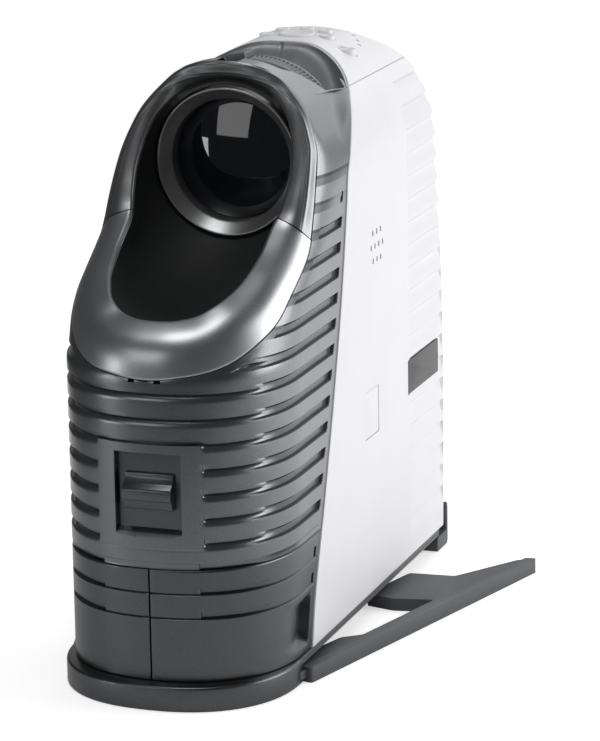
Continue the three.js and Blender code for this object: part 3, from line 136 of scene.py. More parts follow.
def spline(points, keys, at):
    """Natural cubic spline through the points, each set at its key, read at the values of at."""
    points, keys = np.asarray(points, float), np.asarray(keys, float)
    n = len(points)
    h = np.diff(keys)
    matrix, right = np.eye(n), np.zeros_like(points)
    for i in range(1, n - 1):
        matrix[i, i - 1:i + 2] = h[i - 1], 2 * (h[i - 1] + h[i]), h[i]
        right[i] = 6 * ((points[i + 1] - points[i]) / h[i] - (points[i] - points[i - 1]) / h[i - 1])
    bend = np.linalg.solve(matrix, right)
    at = np.asarray(at, float)
    i = np.clip(np.searchsorted(keys, at) - 1, 0, n - 2)
    a = ((keys[i + 1] - at) / h[i])[:, None]
    b = ((at - keys[i]) / h[i])[:, None]
    square = (h[i] ** 2 / 6)[:, None]
    return a * points[i] + b * points[i + 1] + ((a ** 3 - a) * bend[i] + (b ** 3 - b) * bend[i + 1]) * square


def smooth(low, high, value):
    """Eases from 0 at low to 1 at high, with level ends."""
    t = np.clip((np.asarray(value, float) - low) / (high - low), 0, 1)
    return t * t * (3 - 2 * t)


def nose_start(z):
    """Depth of the foremost point of the body at height z."""
    return FRONT_INSET + BODY_DEPTH * table(NOSE_LEVELS, NOSE_LEANS, np.asarray(z) / BODY_HEIGHT)


def rear_depth(z):
    """Depth of the rear wall at height z."""
    return BODY_DEPTH * table(REAR_LEVELS, REAR_DEPTHS, np.asarray(z) / BODY_HEIGHT)


def seam_depth(z):
    """Depth of the seam between the front shell and the side panels at height z."""
    return BODY_DEPTH * table(SEAM_LEVELS, SEAM_DEPTHS, np.asarray(z) / BODY_HEIGHT)


def rim_depth(x):
    """Depth of the front rim of the roof at distance x from the middle."""
    return RIM_CENTRE_DEPTH - RIM_REACH * np.minimum(np.abs(x) / RIM_HALF_WIDTH, 1) ** RIM_POWER


def nose_y(x, z, inset=SHELL_INSET):
    """Depth of the oval nose at x: the oval is x^p + y^p = 1 with p = NOSE_ROUNDNESS."""
    half, length = BODY_WIDTH / 2 - inset, NOSE_LENGTH - inset
    side = np.minimum(np.abs(x) / half, 1)
    return nose_start(z) + NOSE_LENGTH - length * (1 - side ** NOSE_ROUNDNESS) ** (1 / NOSE_ROUNDNESS)


# Meshes.
WELD = 0.00002


def place(points):
    """Millimetres from the front become metres in the shared frame."""
    points = np.asarray(points, float).reshape(-1, 3)
    return (points - [0, BODY_DEPTH / 2, 0]) / 1000


def grid_faces(rows, columns, offset=0, loop_rows=False, loop_columns=False, flip=False):
    """Four-sided faces of a grid of points, stored row by row."""
    r = np.arange(rows if loop_rows else rows - 1)
    c = np.arange(columns if loop_columns else columns - 1)
    rr, cc = np.meshgrid(r, c, indexing="ij")
    after_r, after_c = (rr + 1) % rows, (cc + 1) % columns
    faces = np.stack([rr * columns + cc, rr * columns + after_c,
                      after_r * columns + after_c, after_r * columns + cc], -1).reshape(-1, 4) + offset
    return (faces[:, ::-1] if flip else faces).tolist()


def mirror_x(points):
    """The same points on the other side of the centre plane."""
    return np.asarray(points) * [-1, 1, 1]


def make_piece(name, points, faces, material, node, body="housing", sharp=32):
    """A mesh object from points in millimetres and faces, welded, shaded smooth, in place of a solid."""
    mesh = bpy.data.meshes.new(name)
    mesh.from_pydata(place(points).tolist(), [], faces)
    work = bmesh.new()
    work.from_mesh(mesh)
    bmesh.ops.remove_doubles(work, verts=work.verts, dist=WELD)
    bmesh.ops.dissolve_degenerate(work, edges=work.edges, dist=WELD / 4)
    bmesh.ops.recalc_face_normals(work, faces=work.faces)
    work.to_mesh(mesh)
    work.free()
    mesh.materials.append(material)
    piece = bpy.data.objects.new(name, mesh)
    bpy.context.scene.collection.objects.link(piece)
    shade(piece, sharp)
    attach(piece, body)
    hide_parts(node)
    return piece


def walls(outer, inner, keep=None):
    """Faces between two matching grids: both skins and the strips that close their four edges."""
    rows, columns = outer.shape[:2]
    size = rows * columns
    faces = grid_faces(rows, columns) + grid_faces(rows, columns, size, flip=True)
    ring = rim_of(rows, columns, keep)
    faces += [[a, a + size, b + size, b] for a, b in ring]
    return np.concatenate([outer.reshape(-1, 3), inner.reshape(-1, 3)]), faces


def rim_of(rows, columns, keep):
    """Pairs of neighbouring points round a grid's edge; keep names the edges that are closed."""
    keep = keep or {"first_row", "last_row", "first_column", "last_column"}
    index = np.arange(rows * columns).reshape(rows, columns)
    pairs = []
    if "first_row" in keep:
        pairs += zip(index[0, :-1], index[0, 1:])
    if "last_row" in keep:
        pairs += zip(index[-1, 1:], index[-1, :-1])
    if "first_column" in keep:
        pairs += zip(index[1:, 0], index[:-1, 0])
    if "last_column" in keep:
        pairs += zip(index[:-1, -1], index[1:, -1])
    return [(int(a), int(b)) for a, b in pairs]


def both_sides(points, faces):
    """A half and its mirror image as one set of points and faces."""
    other = [[corner + len(points) for corner in face[::-1]] for face in faces]
    return np.concatenate([points, mirror_x(points)]), faces + other


def turned(profile, centre, steps, axis="y"):
    """A closed profile of (radius, distance) pairs turned round an axis through centre."""
    profile = np.asarray(profile, float)
    angles = np.linspace(0, 2 * np.pi, steps, endpoint=False)[:, None]
    across, up = profile[:, 0] * np.cos(angles), profile[:, 0] * np.sin(angles)
    along = np.broadcast_to(profile[:, 1], across.shape)
    points = np.stack((across, along, up) if axis == "y" else (across, up, along), -1) + centre
    faces = grid_faces(steps, len(profile), loop_rows=True, loop_columns=True)
    return points.reshape(-1, 3), faces


def extruded(outline, low, high, bevel=0.0, axis="z"):
    """A flat outline pulled from low to high, with its edges drawn in by a quarter round of a bevel."""
    outline = np.asarray(outline, float)
    inward = inward_of(outline)
    turn = np.linspace(0, np.pi / 2, 4 if bevel else 1)
    heights = np.concatenate([low + bevel * (1 - np.cos(turn)), high - bevel * (1 - np.cos(turn[::-1]))])
    insets = bevel * (1 - np.sin(np.concatenate([turn, turn[::-1]])))
    rings = [np.column_stack([outline + inward * inset, np.full(len(outline), height)])
             for height, inset in zip(heights, insets)]
    points = np.concatenate(rings)
    if axis == "x":
        points = points[:, [2, 0, 1]]
    if axis == "y":
        points = points[:, [0, 2, 1]]
    count = len(outline)
    faces = grid_faces(len(rings), count, loop_columns=True)
    faces.append(list(range(count))[::-1])
    faces.append(list(range(count * (len(rings) - 1), count * len(rings))))
    return points, faces


def left_of(edges):
    """Unit directions a quarter turn to the left of flat edges."""
    edges = edges / np.maximum(np.linalg.norm(edges, axis=1, keepdims=True), 1e-9)
    return np.column_stack([-edges[:, 1], edges[:, 0]])


def inward_of(outline):
    """Unit directions into a flat outline at each of its points."""
    before, after = np.roll(outline, 1, 0), np.roll(outline, -1, 0)
    mean = left_of(outline - before) + left_of(after - outline)
    mean /= np.maximum((mean ** 2).sum(1, keepdims=True) / 2, 1e-9)
    area = np.sum(outline[:, 0] * after[:, 1] - after[:, 0] * outline[:, 1])
    return mean if area > 0 else -mean


def rounded(corners, radius, steps=5):
    """A flat outline with each corner replaced by a short curve of that radius."""
    corners = np.asarray(corners, float)
    out = []
    for i, corner in enumerate(corners):
        before, after = corners[i - 1], corners[(i + 1) % len(corners)]
        a, b = before - corner, after - corner
        reach = min(radius, 0.45 * np.linalg.norm(a), 0.45 * np.linalg.norm(b))
        start, end = corner + a / np.linalg.norm(a) * reach, corner + b / np.linalg.norm(b) * reach
        for t in np.linspace(0, 1, steps):
            out.append((1 - t) ** 2 * start + 2 * t * (1 - t) * corner + t * t * end)
    return np.array(out)


def rectangle(left, bottom, right, top):
    """The corners of a rectangle, anticlockwise from the lower left."""
    return [(left, bottom), (right, bottom), (right, top), (left, top)]


def shade(piece, angle):
    """Smooth shading with edges kept sharp past an angle in degrees."""
    piece.data.shade_smooth()
    piece.data.set_sharp_from_angle(angle=math.radians(angle))


def soften(piece, width, steps=3, angle=35):
    """Rounds every edge sharper than an angle by a width in millimetres."""
    modifier = piece.modifiers.new("soft_edges", "BEVEL")
    modifier.width, modifier.segments, modifier.limit_method = width / 1000, steps, "ANGLE"
    modifier.angle_limit = math.radians(angle)
    with bpy.context.temp_override(object=piece, active_object=piece):
        bpy.ops.object.modifier_apply(modifier=modifier.name)
    shade(piece, angle)


def combine(piece, solids):
    """Joins closed solids to a piece so that nothing is left inside it."""
    carve(piece, solids, "UNION")


def carve(piece, cutters, operation="DIFFERENCE"):
    """Takes the cutters out of a piece, or joins them to it, with exact clean edges."""
    for points, faces in cutters:
        mesh = bpy.data.meshes.new("cutter")
        mesh.from_pydata(place(points).tolist(), [], faces)
        work = bmesh.new()
        work.from_mesh(mesh)
        bmesh.ops.recalc_face_normals(work, faces=work.faces)
        work.to_mesh(mesh)
        work.free()
        cutter = bpy.data.objects.new("cutter", mesh)
        bpy.context.scene.collection.objects.link(cutter)
        modifier = piece.modifiers.new("cut", "BOOLEAN")
        modifier.operation, modifier.solver, modifier.object = operation, "EXACT", cutter
        with bpy.context.temp_override(object=piece, active_object=piece):
            bpy.ops.object.modifier_apply(modifier=modifier.name)
        bpy.data.objects.remove(cutter)
        bpy.data.meshes.remove(mesh)


# Finishes.
def shader_of(name, colour, roughness, metallic=0.0, coat=0.0):
    """A new material with the sockets that are the same all over its surface already set."""
    material = bpy.data.materials.new(name)
    material.use_nodes = True
    shader = material.node_tree.nodes["Principled BSDF"]
    shader.inputs["Base Color"].default_value = (*colour, 1)
    shader.inputs["Roughness"].default_value = roughness
    shader.inputs["Metallic"].default_value = metallic
    shader.inputs["Coat Weight"].default_value = coat
    return material, shader


def add_node(material, kind, **values):
    """A shader node with its sockets or settings set by name."""
    node = material.node_tree.nodes.new(kind)
    for key, value in values.items():
        socket = key.replace("_", " ").title()
        if socket in node.inputs:
            node.inputs[socket].default_value = value
        else:
            setattr(node, key, value)
    return node


def link(material, start, end):
    """Joins an output socket to an input socket."""
    material.node_tree.links.new(start, end)


def noise(material, scale, detail=3.0):
    """Noise over the piece's own coordinates, in features per metre."""
    where = add_node(material, "ShaderNodeTexCoord")
    texture = add_node(material, "ShaderNodeTexNoise", scale=scale, detail=detail)
    link(material, where.outputs["Object"], texture.inputs["Vector"])
    return texture.outputs["Fac"]


def coordinates(material):
    """The X, Y and Z of the piece's own coordinates, in metres."""
    where = add_node(material, "ShaderNodeTexCoord")
    parts = add_node(material, "ShaderNodeSeparateXYZ")
    link(material, where.outputs["Object"], parts.inputs["Vector"])
    return parts.outputs


def spread(material, value, low, high):
    """Maps a 0 to 1 value onto low to high."""
    node = add_node(material, "ShaderNodeMapRange")
    node.inputs["To Min"].default_value = low
    node.inputs["To Max"].default_value = high
    link(material, value, node.inputs["Value"])
    return node.outputs["Result"]


def tint(material, value, dark, light):
    """Blends two colours by a value and returns the colour."""
    ramp = add_node(material, "ShaderNodeValToRGB")
    ramp.color_ramp.elements[0].position, ramp.color_ramp.elements[1].position = 0.3, 0.7
    ramp.color_ramp.elements[0].color, ramp.color_ramp.elements[1].color = (*dark, 1), (*light, 1)
    link(material, value, ramp.inputs["Fac"])
    return ramp.outputs["Color"]


def add_bump(material, shader, value, strength, distance):
    """Fine relief from a value, in metres of height."""
    bump = add_node(material, "ShaderNodeBump", strength=strength, distance=distance)
    link(material, value, bump.inputs["Height"])
    link(material, bump.outputs["Normal"], shader.inputs["Normal"])


def shaded(colour, factor):
    """A colour made lighter or darker by a factor."""
    return tuple(channel * factor for channel in colour)


def metallic_paint(name, colour, roughness, metallic, fleck=0.14):
    """Silver-grey paint with fine metal flakes: flakes vary the tone, broad noise varies the gloss."""
    material, shader = shader_of(name, colour, roughness, metallic, coat=0.12)
    flakes = noise(material, 2600, 2)
    link(material, tint(material, flakes, shaded(colour, 1 - fleck), shaded(colour, 1 + fleck)),
         shader.inputs["Base Color"])
    link(material, spread(material, noise(material, 60, 4), roughness - 0.04, roughness + 0.05),
         shader.inputs["Roughness"])
    add_bump(material, shader, noise(material, 1500, 3), 0.25, 0.00004)
    return material


def eased(material, value, low, high):
    """0 below low, 1 above high, eased between."""
    node = add_node(material, "ShaderNodeMapRange")
    node.interpolation_type = "SMOOTHSTEP"
    node.inputs["From Min"].default_value, node.inputs["From Max"].default_value = low, high
    link(material, value, node.inputs["Value"])
    return node.outputs["Result"]


def calculated(material, operation, *values):
    """The result of a Math node fed with sockets or plain numbers."""
    node = add_node(material, "ShaderNodeMath", operation=operation)
    for socket, value in zip(node.inputs, values):
        if isinstance(value, (int, float)):
            socket.default_value = value
        else:
            link(material, value, socket)
    return node.outputs["Value"]


def product(material, value, *factors):
    """The product of sockets or plain numbers."""
    for factor in factors:
        value = calculated(material, "MULTIPLY", value, factor)
    return value


# Painted shade in the side grooves, with darker floors and a painted shadow under each top edge: millimetres
# from the middle, above the floor or below a groove's top edge.
PAINTED_SHADE_INNER = (40, 45)
PAINTED_SHADE_OUTER = (48.3, 47.7)
PAINTED_SHADE_CEILING = (204.6, 204.4)
PAINTED_SHADE_FLOOR = (4.3, 4.0)
PAINTED_SHADOW_SLOT = (1.5, 1.1)
FLOOR_SHADE = 0.6
SLOT_SHADOW = 0.36
PAINT_METAL = 0.95
PAINTED_SHADE_METAL = 0.2


def paint_groove_shade(material):
    """Painted shade in the side grooves by place: darker, less metallic groove floors and a painted shadow
    under each top edge, set by the drop below each top edge and the distance from the middle.
    """
    shader = material.node_tree.nodes["Principled BSDF"]
    parts = coordinates(material)
    across = product(material, calculated(material, "ABSOLUTE", parts["X"]), 1000)
    height = product(material, parts["Z"], 1000)
    rows = calculated(material, "MULTIPLY_ADD", height, -1 / GROOVE_PITCH, TOP_GROOVE / GROOVE_PITCH)
    drop = product(material, calculated(material, "FLOORED_MODULO", rows, 1), GROOVE_PITCH)
    flank = product(material, eased(material, across, *PAINTED_SHADE_INNER), eased(material, across, *PAINTED_SHADE_OUTER),
                    eased(material, height, *PAINTED_SHADE_CEILING))
    floor = product(material, eased(material, drop, *PAINTED_SHADE_FLOOR), flank)
    slot = product(material, eased(material, drop, *PAINTED_SHADOW_SLOT), flank, SLOT_SHADOW)
    # Black is mixed into the paint's colour here as painted shade and painted shadow.
    mix = add_node(material, "ShaderNodeMixRGB", blend_type="MIX")
    mix.inputs["Color2"].default_value = (0, 0, 0, 1)
    link(material, calculated(material, "MULTIPLY_ADD", floor, FLOOR_SHADE, slot), mix.inputs["Fac"])
    link(material, shader.inputs["Base Color"].links[0].from_socket, mix.inputs["Color1"])
    link(material, mix.outputs["Color"], shader.inputs["Base Color"])
    link(material, spread(material, floor, PAINT_METAL, PAINTED_SHADE_METAL), shader.inputs["Metallic"])


def moulded(name, colour, roughness, grain, mottle=0.03, relief=0.00005):
    """Moulded plastic: a fine spark-eroded grain and a faint unevenness of tone."""
    material, shader = shader_of(name, colour, roughness)
    broad = noise(material, 45, 5)
    link(material, tint(material, broad, shaded(colour, 1 - mottle), shaded(colour, 1 + mottle)),
         shader.inputs["Base Color"])
    link(material, spread(material, noise(material, 90, 4), roughness - 0.05, roughness + 0.06),
         shader.inputs["Roughness"])
    add_bump(material, shader, noise(material, grain, 4), 0.3, relief)
    return material


RINGS_PER_METRE = 3800


def turned_metal(name, colour, roughness, centre):
    """Spun metal: fine rings round an axis along Y, from the distance to the axis."""
    material, shader = shader_of(name, colour, roughness, 0.9)
    where = add_node(material, "ShaderNodeTexCoord")
    mapping = add_node(material, "ShaderNodeMapping")
    mapping.inputs["Location"].default_value = (-centre[0], 0, -centre[2])
    mapping.inputs["Scale"].default_value = (1, 0.25, 1)
    link(material, where.outputs["Object"], mapping.inputs["Vector"])
    length = add_node(material, "ShaderNodeVectorMath", operation="LENGTH")
    link(material, mapping.outputs["Vector"], length.inputs[0])
    rings = add_node(material, "ShaderNodeTexNoise", scale=1.0, detail=3.0)
    rings.noise_dimensions = "1D"
    link(material, product(material, length.outputs["Value"], RINGS_PER_METRE), rings.inputs["W"])
    link(material, spread(material, rings.outputs["Fac"], roughness - 0.08, roughness + 0.1),
         shader.inputs["Roughness"])
    link(material, tint(material, rings.outputs["Fac"], shaded(colour, 0.9), shaded(colour, 1.08)),
         shader.inputs["Base Color"])
    add_bump(material, shader, rings.outputs["Fac"], 0.2, 0.00003)
    return material


def coated_lens(name):
    """Dark coated glass: black inside, a hard clear surface and a faint blue coating."""
    material, shader = shader_of(name, (0.004, 0.005, 0.008), 0.025)
    shader.inputs["IOR"].default_value = 1.8
    dust = noise(material, 220, 3)
    link(material, tint(material, dust, (0.003, 0.004, 0.006), (0.006, 0.007, 0.011)),
         shader.inputs["Base Color"])
    link(material, spread(material, noise(material, 35, 3), 0.02, 0.05), shader.inputs["Roughness"])
    return material


LENS_FRONT = 112.0
LENS_CENTRE = (0, (LENS_FRONT - BODY_DEPTH / 2) / 1000, LENS_HEIGHT / 1000)
SHELL = metallic_paint("shell_paint", (0.12, 0.123, 0.129), 0.32, PAINT_METAL)
RIBBED = metallic_paint("ribbed_paint", (0.2, 0.205, 0.214), 0.32, PAINT_METAL)
# The ribbed shell's side grooves get painted shade: darker floors and a painted shadow under each top edge.
paint_groove_shade(RIBBED)
CHIN = metallic_paint("chin_paint", (0.45, 0.457, 0.475), 0.36, PAINT_METAL, 0.1)
HOOD = metallic_paint("hood_paint", (0.26, 0.264, 0.272), 0.38, PAINT_METAL, 0.1)
RING_METAL = turned_metal("spun_ring", (0.36, 0.365, 0.37), 0.32, LENS_CENTRE)
FUNNEL = moulded("funnel_plastic", (0.016, 0.017, 0.018), 0.42, 1500)
RECESS = metallic_paint("recess_paint", (0.3, 0.305, 0.315), 0.4, 0.6, 0.08)
CONTROL_RING = moulded("control_ring_plastic", (0.09, 0.1, 0.12), 0.38, 1400)
BLACK = moulded("black_plastic", (0.018, 0.018, 0.02), 0.5, 1500)
LABEL = moulded("label_plastic", (0.022, 0.022, 0.024), 0.42, 1800)
WHITE = moulded("white_plastic", (0.82, 0.82, 0.845), 0.42, 1300, 0.012, 0.00003)
BUTTON = moulded("button_plastic", (0.8, 0.8, 0.825), 0.38, 1500, 0.012, 0.00002)
FOOT = moulded("foot_plastic", (0.085, 0.088, 0.094), 0.46, 1100, 0.05, 0.00007)
BASE = moulded("base_plastic", (0.1, 0.102, 0.108), 0.45, 1100, 0.05, 0.00006)
RUBBER = moulded("rubber", (0.02, 0.02, 0.021), 0.8, 900, 0.08, 0.00008)
GLASS = coated_lens("coated_glass")
STEEL = metallic_paint("bare_steel", (0.52, 0.52, 0.53), 0.34, 1.0, 0.05)
ALUMINIUM = metallic_paint("bare_aluminium", (0.66, 0.66, 0.68), 0.4, 1.0, 0.04)
BOARD = moulded("board_lacquer", (0.015, 0.09, 0.04), 0.35, 700, 0.2, 0.00004)


# Body surface.
SHOULDER_POWER = 40


def nose_path(z, inset):
    """One level of the nose from the middle backwards: oval angle, x, depth and arc length."""
    turn = np.linspace(0, np.pi / 2, 160)
    half, length = BODY_WIDTH / 2 - inset, NOSE_LENGTH - inset
    x = half * np.sin(turn) ** (2 / NOSE_ROUNDNESS)
    y = nose_start(z) + NOSE_LENGTH - length * np.cos(turn) ** (2 / NOSE_ROUNDNESS)
    arc = np.concatenate([[0], np.cumsum(np.hypot(np.diff(x), np.diff(y)))])
    return turn, x, y, arc


def arc_at_x(z, inset, x):
    """Arc length where the level reaches the distance x from the middle."""
    _, across, _, arc = nose_path(z, inset)
    return float(np.interp(x, across, arc))


def arc_at_depth(z, inset, depth):
    """Arc length where the level reaches a depth; past the nose the side runs straight back."""
    _, _, y, arc = nose_path(z, inset)
    return float(np.interp(depth, y, arc)) if depth < y[-1] else float(arc[-1] + depth - y[-1])


def soft_minimum(a, b):
    """(a^-q + b^-q)^(-1/q) with q = SHOULDER_POWER: the smaller of two sizes, eased where they meet."""
    return (a ** -SHOULDER_POWER + b ** -SHOULDER_POWER) ** (-1 / SHOULDER_POWER)


def level_points(z, arcs, inset, sink=0, limits=None):
    """Points along one level at the given arc lengths, sunk inwards by sink, kept under the roof lines.

    Along the nose x = half sin(t)^(2/p) and y = rear of nose - length cos(t)^(2/p). The limits are
    the roof's half width in front and at the seam, and x eases from one to the other before the seam.
    """
    turn, _, y, arc = nose_path(z, inset)
    t = np.interp(np.minimum(arcs, arc[-1]), arc, turn)
    half, length = BODY_WIDTH / 2 - inset - sink, NOSE_LENGTH - inset - sink
    x = half * np.sin(t) ** (2 / NOSE_ROUNDNESS)
    depth = y[-1] - length * np.clip(np.cos(t), 0, 1) ** (2 / NOSE_ROUNDNESS) + np.maximum(arcs - arc[-1], 0)
    if limits is not None:
        front, rear = limits
        seam = seam_depth(z)
        limit = front + (rear - front) * smooth(seam - 13, seam - 0.5, depth) - np.asarray(sink)
        x = np.where(x < 1e-6, x, soft_minimum(np.maximum(x, 1e-6), np.maximum(limit, 1e-3)))
    return np.column_stack([x, depth, np.full_like(x, z)])


def roof_line(widths, heights, inset, count):
    """The roof's cross-section as (x, z) rows, from the side wall up to the middle."""
    points = np.column_stack([BODY_WIDTH * np.array(widths), BODY_HEIGHT * np.array(heights)])
    mirror = np.concatenate([points, points[-2::-1] * [-1, 1]])
    keys = np.concatenate([[0], np.cumsum(np.linalg.norm(np.diff(mirror, axis=0), axis=1))])
    line = spline(mirror, keys, np.linspace(0, keys[-1] / 2, count)) - inset
    line[:, 0] = np.maximum(line[:, 0], 0)
    line[-1, 0] = 0
    return line


ROOF_LINE = roof_line(ROOF_WIDTHS, ROOF_HEIGHTS, 0, 120)
ROOF_SPREAD = 0.03


def roof_z(x):
    """Height of the white roof's surface at distance x from the middle."""
    return np.interp(np.abs(x), ROOF_LINE[::-1, 0], ROOF_LINE[::-1, 1])


def roof_x(z):
    """Half width of the white roof's outline at height z, which widens slowly below the roof."""
    low_x, low_z = ROOF_LINE[0]
    if z > low_z:
        return float(np.interp(z, ROOF_LINE[:, 1], ROOF_LINE[:, 0]))
    return low_x + (low_z - z) * ROOF_SPREAD


# Front shell.
FRONT_LIMIT = BODY_HEIGHT * FACE_OUTER_Z[0]
GROOVE_STEPS = [-0.5, -0.12, 0.0, 0.12, 0.3, 0.7, 1.3, 1.9, 2.3, 2.6,
                2.85, 3.1, 3.4, 3.75, 4.05, 4.4, 4.75, 5.2, 5.8, 7.4]
FRONT_GROOVE_DEPTH = 2.3
SIDE_GROOVE_DEPTH = 2.15
WINDOW_MARGIN = 8.0
WINDOW_BAND = (WINDOW[1] - 4, WINDOW[2] + 4)
RECESS_EDGE = ([20, 26, 34.5, 35], [116, 126, 137, 139])
RECESS_CORNER = 34.5


def front_profile(drop, depth):
    """Groove section at the front: a sharp upper edge, a deep slot, then a round shoulder out to the rib."""
    t = np.clip((drop - 2.5) / 2.9, 0, 1)
    shoulder = depth * (1 - np.sqrt(np.clip(1 - (1 - t) ** 2, 0, 1)))
    return np.where(drop < 0, 0, np.where(drop < 2.5, depth * smooth(0, 0.2, drop), shoulder))


def side_profile(drop, depth):
    """Groove section at the side: a slot under a sharp edge, a flat floor and a small bevel below."""
    slot = 0.25 * depth * (1 - smooth(0.9, 1.3, drop))
    inside = (0.75 * depth + slot) * smooth(0, 0.2, drop) * (1 - smooth(3.7, 4.4, drop))
    return np.where((drop < 0) | (drop > 4.4), 0, inside)


def groove_sink(z, points):
    """How far the shell is sunk at each point of a level, from the groove row that the level is in."""
    row = math.floor((TOP_GROOVE - z) / GROOVE_PITCH + 1e-6)
    if not -SHORT_GROOVES <= row < GROOVE_COUNT:
        return np.zeros(len(points))
    drop = TOP_GROOVE - GROOVE_PITCH * row - z
    x, y = points[:, 0], points[:, 1]
    flank = smooth(36, 47, x)
    deeper = 0.4 * smooth(9.5, 7.0, seam_depth(z) - y)
    side = side_profile(drop, SIDE_GROOVE_DEPTH) * (1 + 0.15 * deeper)
    sink = (1 - flank) * front_profile(drop, FRONT_GROOVE_DEPTH) + flank * side
    if row == GROOVE_COUNT - 1:
        sink = sink * np.maximum(smooth(20.6, 21.4, x) * (1 - smooth(17, 33, y)), 0.12)
    rear = 1 - smooth(-0.3, 0.3, y - (seam_depth(z) - 5))
    start = face_depth(z) + 6 - 2 * GROOVE_PITCH * min(row, 0) if z > FRONT_LIMIT else -100
    front = smooth(-0.5, 0.5, y - start)
    band = WINDOW_BAND[0] < z < WINDOW_BAND[1]
    beside = smooth(-0.7, 0.7, x - WINDOW[0] - WINDOW_MARGIN) if band else 1
    return sink * rear * front * beside


def face_curve(count):
    """The outer edge of the face as a smooth line from the chin's lowest point to the crown."""
    stations = np.arange(len(FACE_OUTER_X))
    outline = np.column_stack([BODY_WIDTH * np.array(FACE_OUTER_X), BODY_HEIGHT * np.array(FACE_OUTER_Z)])
    line = spline(outline, stations, np.linspace(0, stations[-1], count))
    line[:, 1] = np.maximum.accumulate(line[:, 1])
    return line


FACE_LINE = face_curve(220)


def face_x(z):
    """Distance from the middle to the face's outer edge at height z."""
    return np.interp(z, FACE_LINE[:, 1], FACE_LINE[:, 0])


def face_depth(z):
    """Depth of the face's outer edge at height z."""
    return nose_y(face_x(z), z)


def shell_heights():
    """Heights of the shell's rows below the shoulder: each groove's steps and the face's lowest bend."""
    bottom, shoulder = COVER_TOP + GAP, BODY_HEIGHT * HOOD_HEIGHTS[0] - 0.7
    tops = [TOP_GROOVE - GROOVE_PITCH * k for k in range(-SHORT_GROOVES, GROOVE_COUNT)]
    heights = {round(top - step, 3) for top in tops for step in GROOVE_STEPS}
    heights |= {bottom, *np.interp([3, 6, 9, 12, 16, 20, 25], FACE_LINE[:, 0], FACE_LINE[:, 1]).round(3)}
    return sorted(z for z in heights if bottom <= z < shoulder)


CATCH_HALF = 1.4
CATCH_PLACE = 5.5
END_STEPS = np.array([14, 10.5, 8, 6.6, 5.9, 5.45, 5.15, 4.85, 4.55, 4.0, 2.6, 1.2, 0])
START_STEPS = np.array([0, 1.2, 2.6, 4.2, 5.0, 5.6, 6.2, 7.0, 8.4, 10.0])
WINDOW_STEPS = np.array([0, 5, 10, 15, 19, 20.9, 21.6, 22.4, 23.1, 23.8, 25.5])
MIDDLE_STEPS = 46


def shell_arcs(z, start, end):
    """Arc lengths of one row's points: close together at both ends and beside the window."""
    lead = WINDOW_STEPS if z <= FRONT_LIMIT else np.insert(START_STEPS, 1, 0.6)
    lead = lead + start
    if end - lead[-1] < END_STEPS[0] + 4:
        return np.linspace(start, end, len(WINDOW_STEPS) + MIDDLE_STEPS + len(END_STEPS))
    middle = np.linspace(lead[-1], end - END_STEPS[0], MIDDLE_STEPS + 2)[1:-1]
    return np.concatenate([lead, middle, end - END_STEPS])


def shell_row(z, limits, start_x):
    """One row of the shell's outer skin, from the face's edge or the middle back to the seam or the lip."""
    beside = z <= SIDE_SEAM_HEIGHT or limits[0] > 36
    end_depth = float(seam_depth(z) if beside else np.interp(limits[0], *RECESS_EDGE))
    start = arc_at_x(z, SHELL_INSET, start_x)
    arcs = shell_arcs(z, start, max(arc_at_depth(z, SHELL_INSET, end_depth), start + 1))
    plain = level_points(z, arcs, SHELL_INSET, 0, limits)
    return arcs, level_points(z, arcs, SHELL_INSET, groove_sink(z, plain), limits)


def build_front_shell():
    """The ribbed front shell with the window: rows up the front, then rows along the hood's roof line."""
    outer, inner = [], []
    hood = roof_line(HOOD_WIDTHS, HOOD_HEIGHTS, SHELL_INSET, 44)
    under = roof_line(HOOD_WIDTHS, HOOD_HEIGHTS, SHELL_INSET + SHELL_WALL, 44)
    steps = np.arange(len(hood))
    corners = [np.interp(SIDE_SEAM_HEIGHT - 0.01, hood[:, 1], steps),
               np.interp(-RECESS_CORNER, -hood[:, 0], steps)]
    more = np.sort(np.concatenate([steps, corners]))
    hood, under = (np.column_stack([np.interp(more, steps, line[:, i]) for i in (0, 1)])
                   for line in (hood, under))
    for z in shell_heights():
        limit = roof_x(z) - SHELL_INSET
        arcs, row = shell_row(z, (limit, limit), face_x(z) if z > FRONT_LIMIT else 0.0)
        outer.append(row)
        inner.append(level_points(z, arcs, SHELL_INSET, SHELL_WALL, (limit, limit)))
    for (x, z), (under_x, under_z) in zip(hood, under):
        if z < outer[-1][0, 2] + 0.6:
            continue
        rear = max(roof_x(z) - SHELL_INSET, x)
        arcs, row = shell_row(z, (x, rear), min(face_x(z), x) if z < FACE_LINE[-1, 1] else 0.0)
        reach = under_x + SHELL_WALL
        below = level_points(z, arcs, SHELL_INSET, SHELL_WALL, (reach, max(rear, reach)))
        below[:, 2] = under_z
        if x == 0:
            row[:, 0] = below[:, 0] = 0
        outer.append(row)
        inner.append(below)
    points, faces = walls(np.array(outer), np.array(inner), {"first_row", "last_column"})
    first = next(i for i, row in enumerate(outer) if row[0, 2] > FRONT_LIMIT)
    size, columns = len(points) // 2, outer[0].shape[0]
    for i in range(first - 1, len(outer) - 1):
        a, b = i * columns, (i + 1) * columns
        faces.append([b, b + size, a + size, a])
    points, faces = both_sides(points, faces)
    piece = make_piece("front_shell_ribbed", points, faces, RIBBED, "front_shell")
    catches = [extruded(rectangle(x - CATCH_HALF, 135.0, x + CATCH_HALF, 136.6), 0, 12, axis="y")
               for x in (-CATCH_PLACE, CATCH_PLACE)]
    carve(piece, [tapered_window(), *catches])
    shade(piece, 32)


EDGE_RADIUS = 0.45


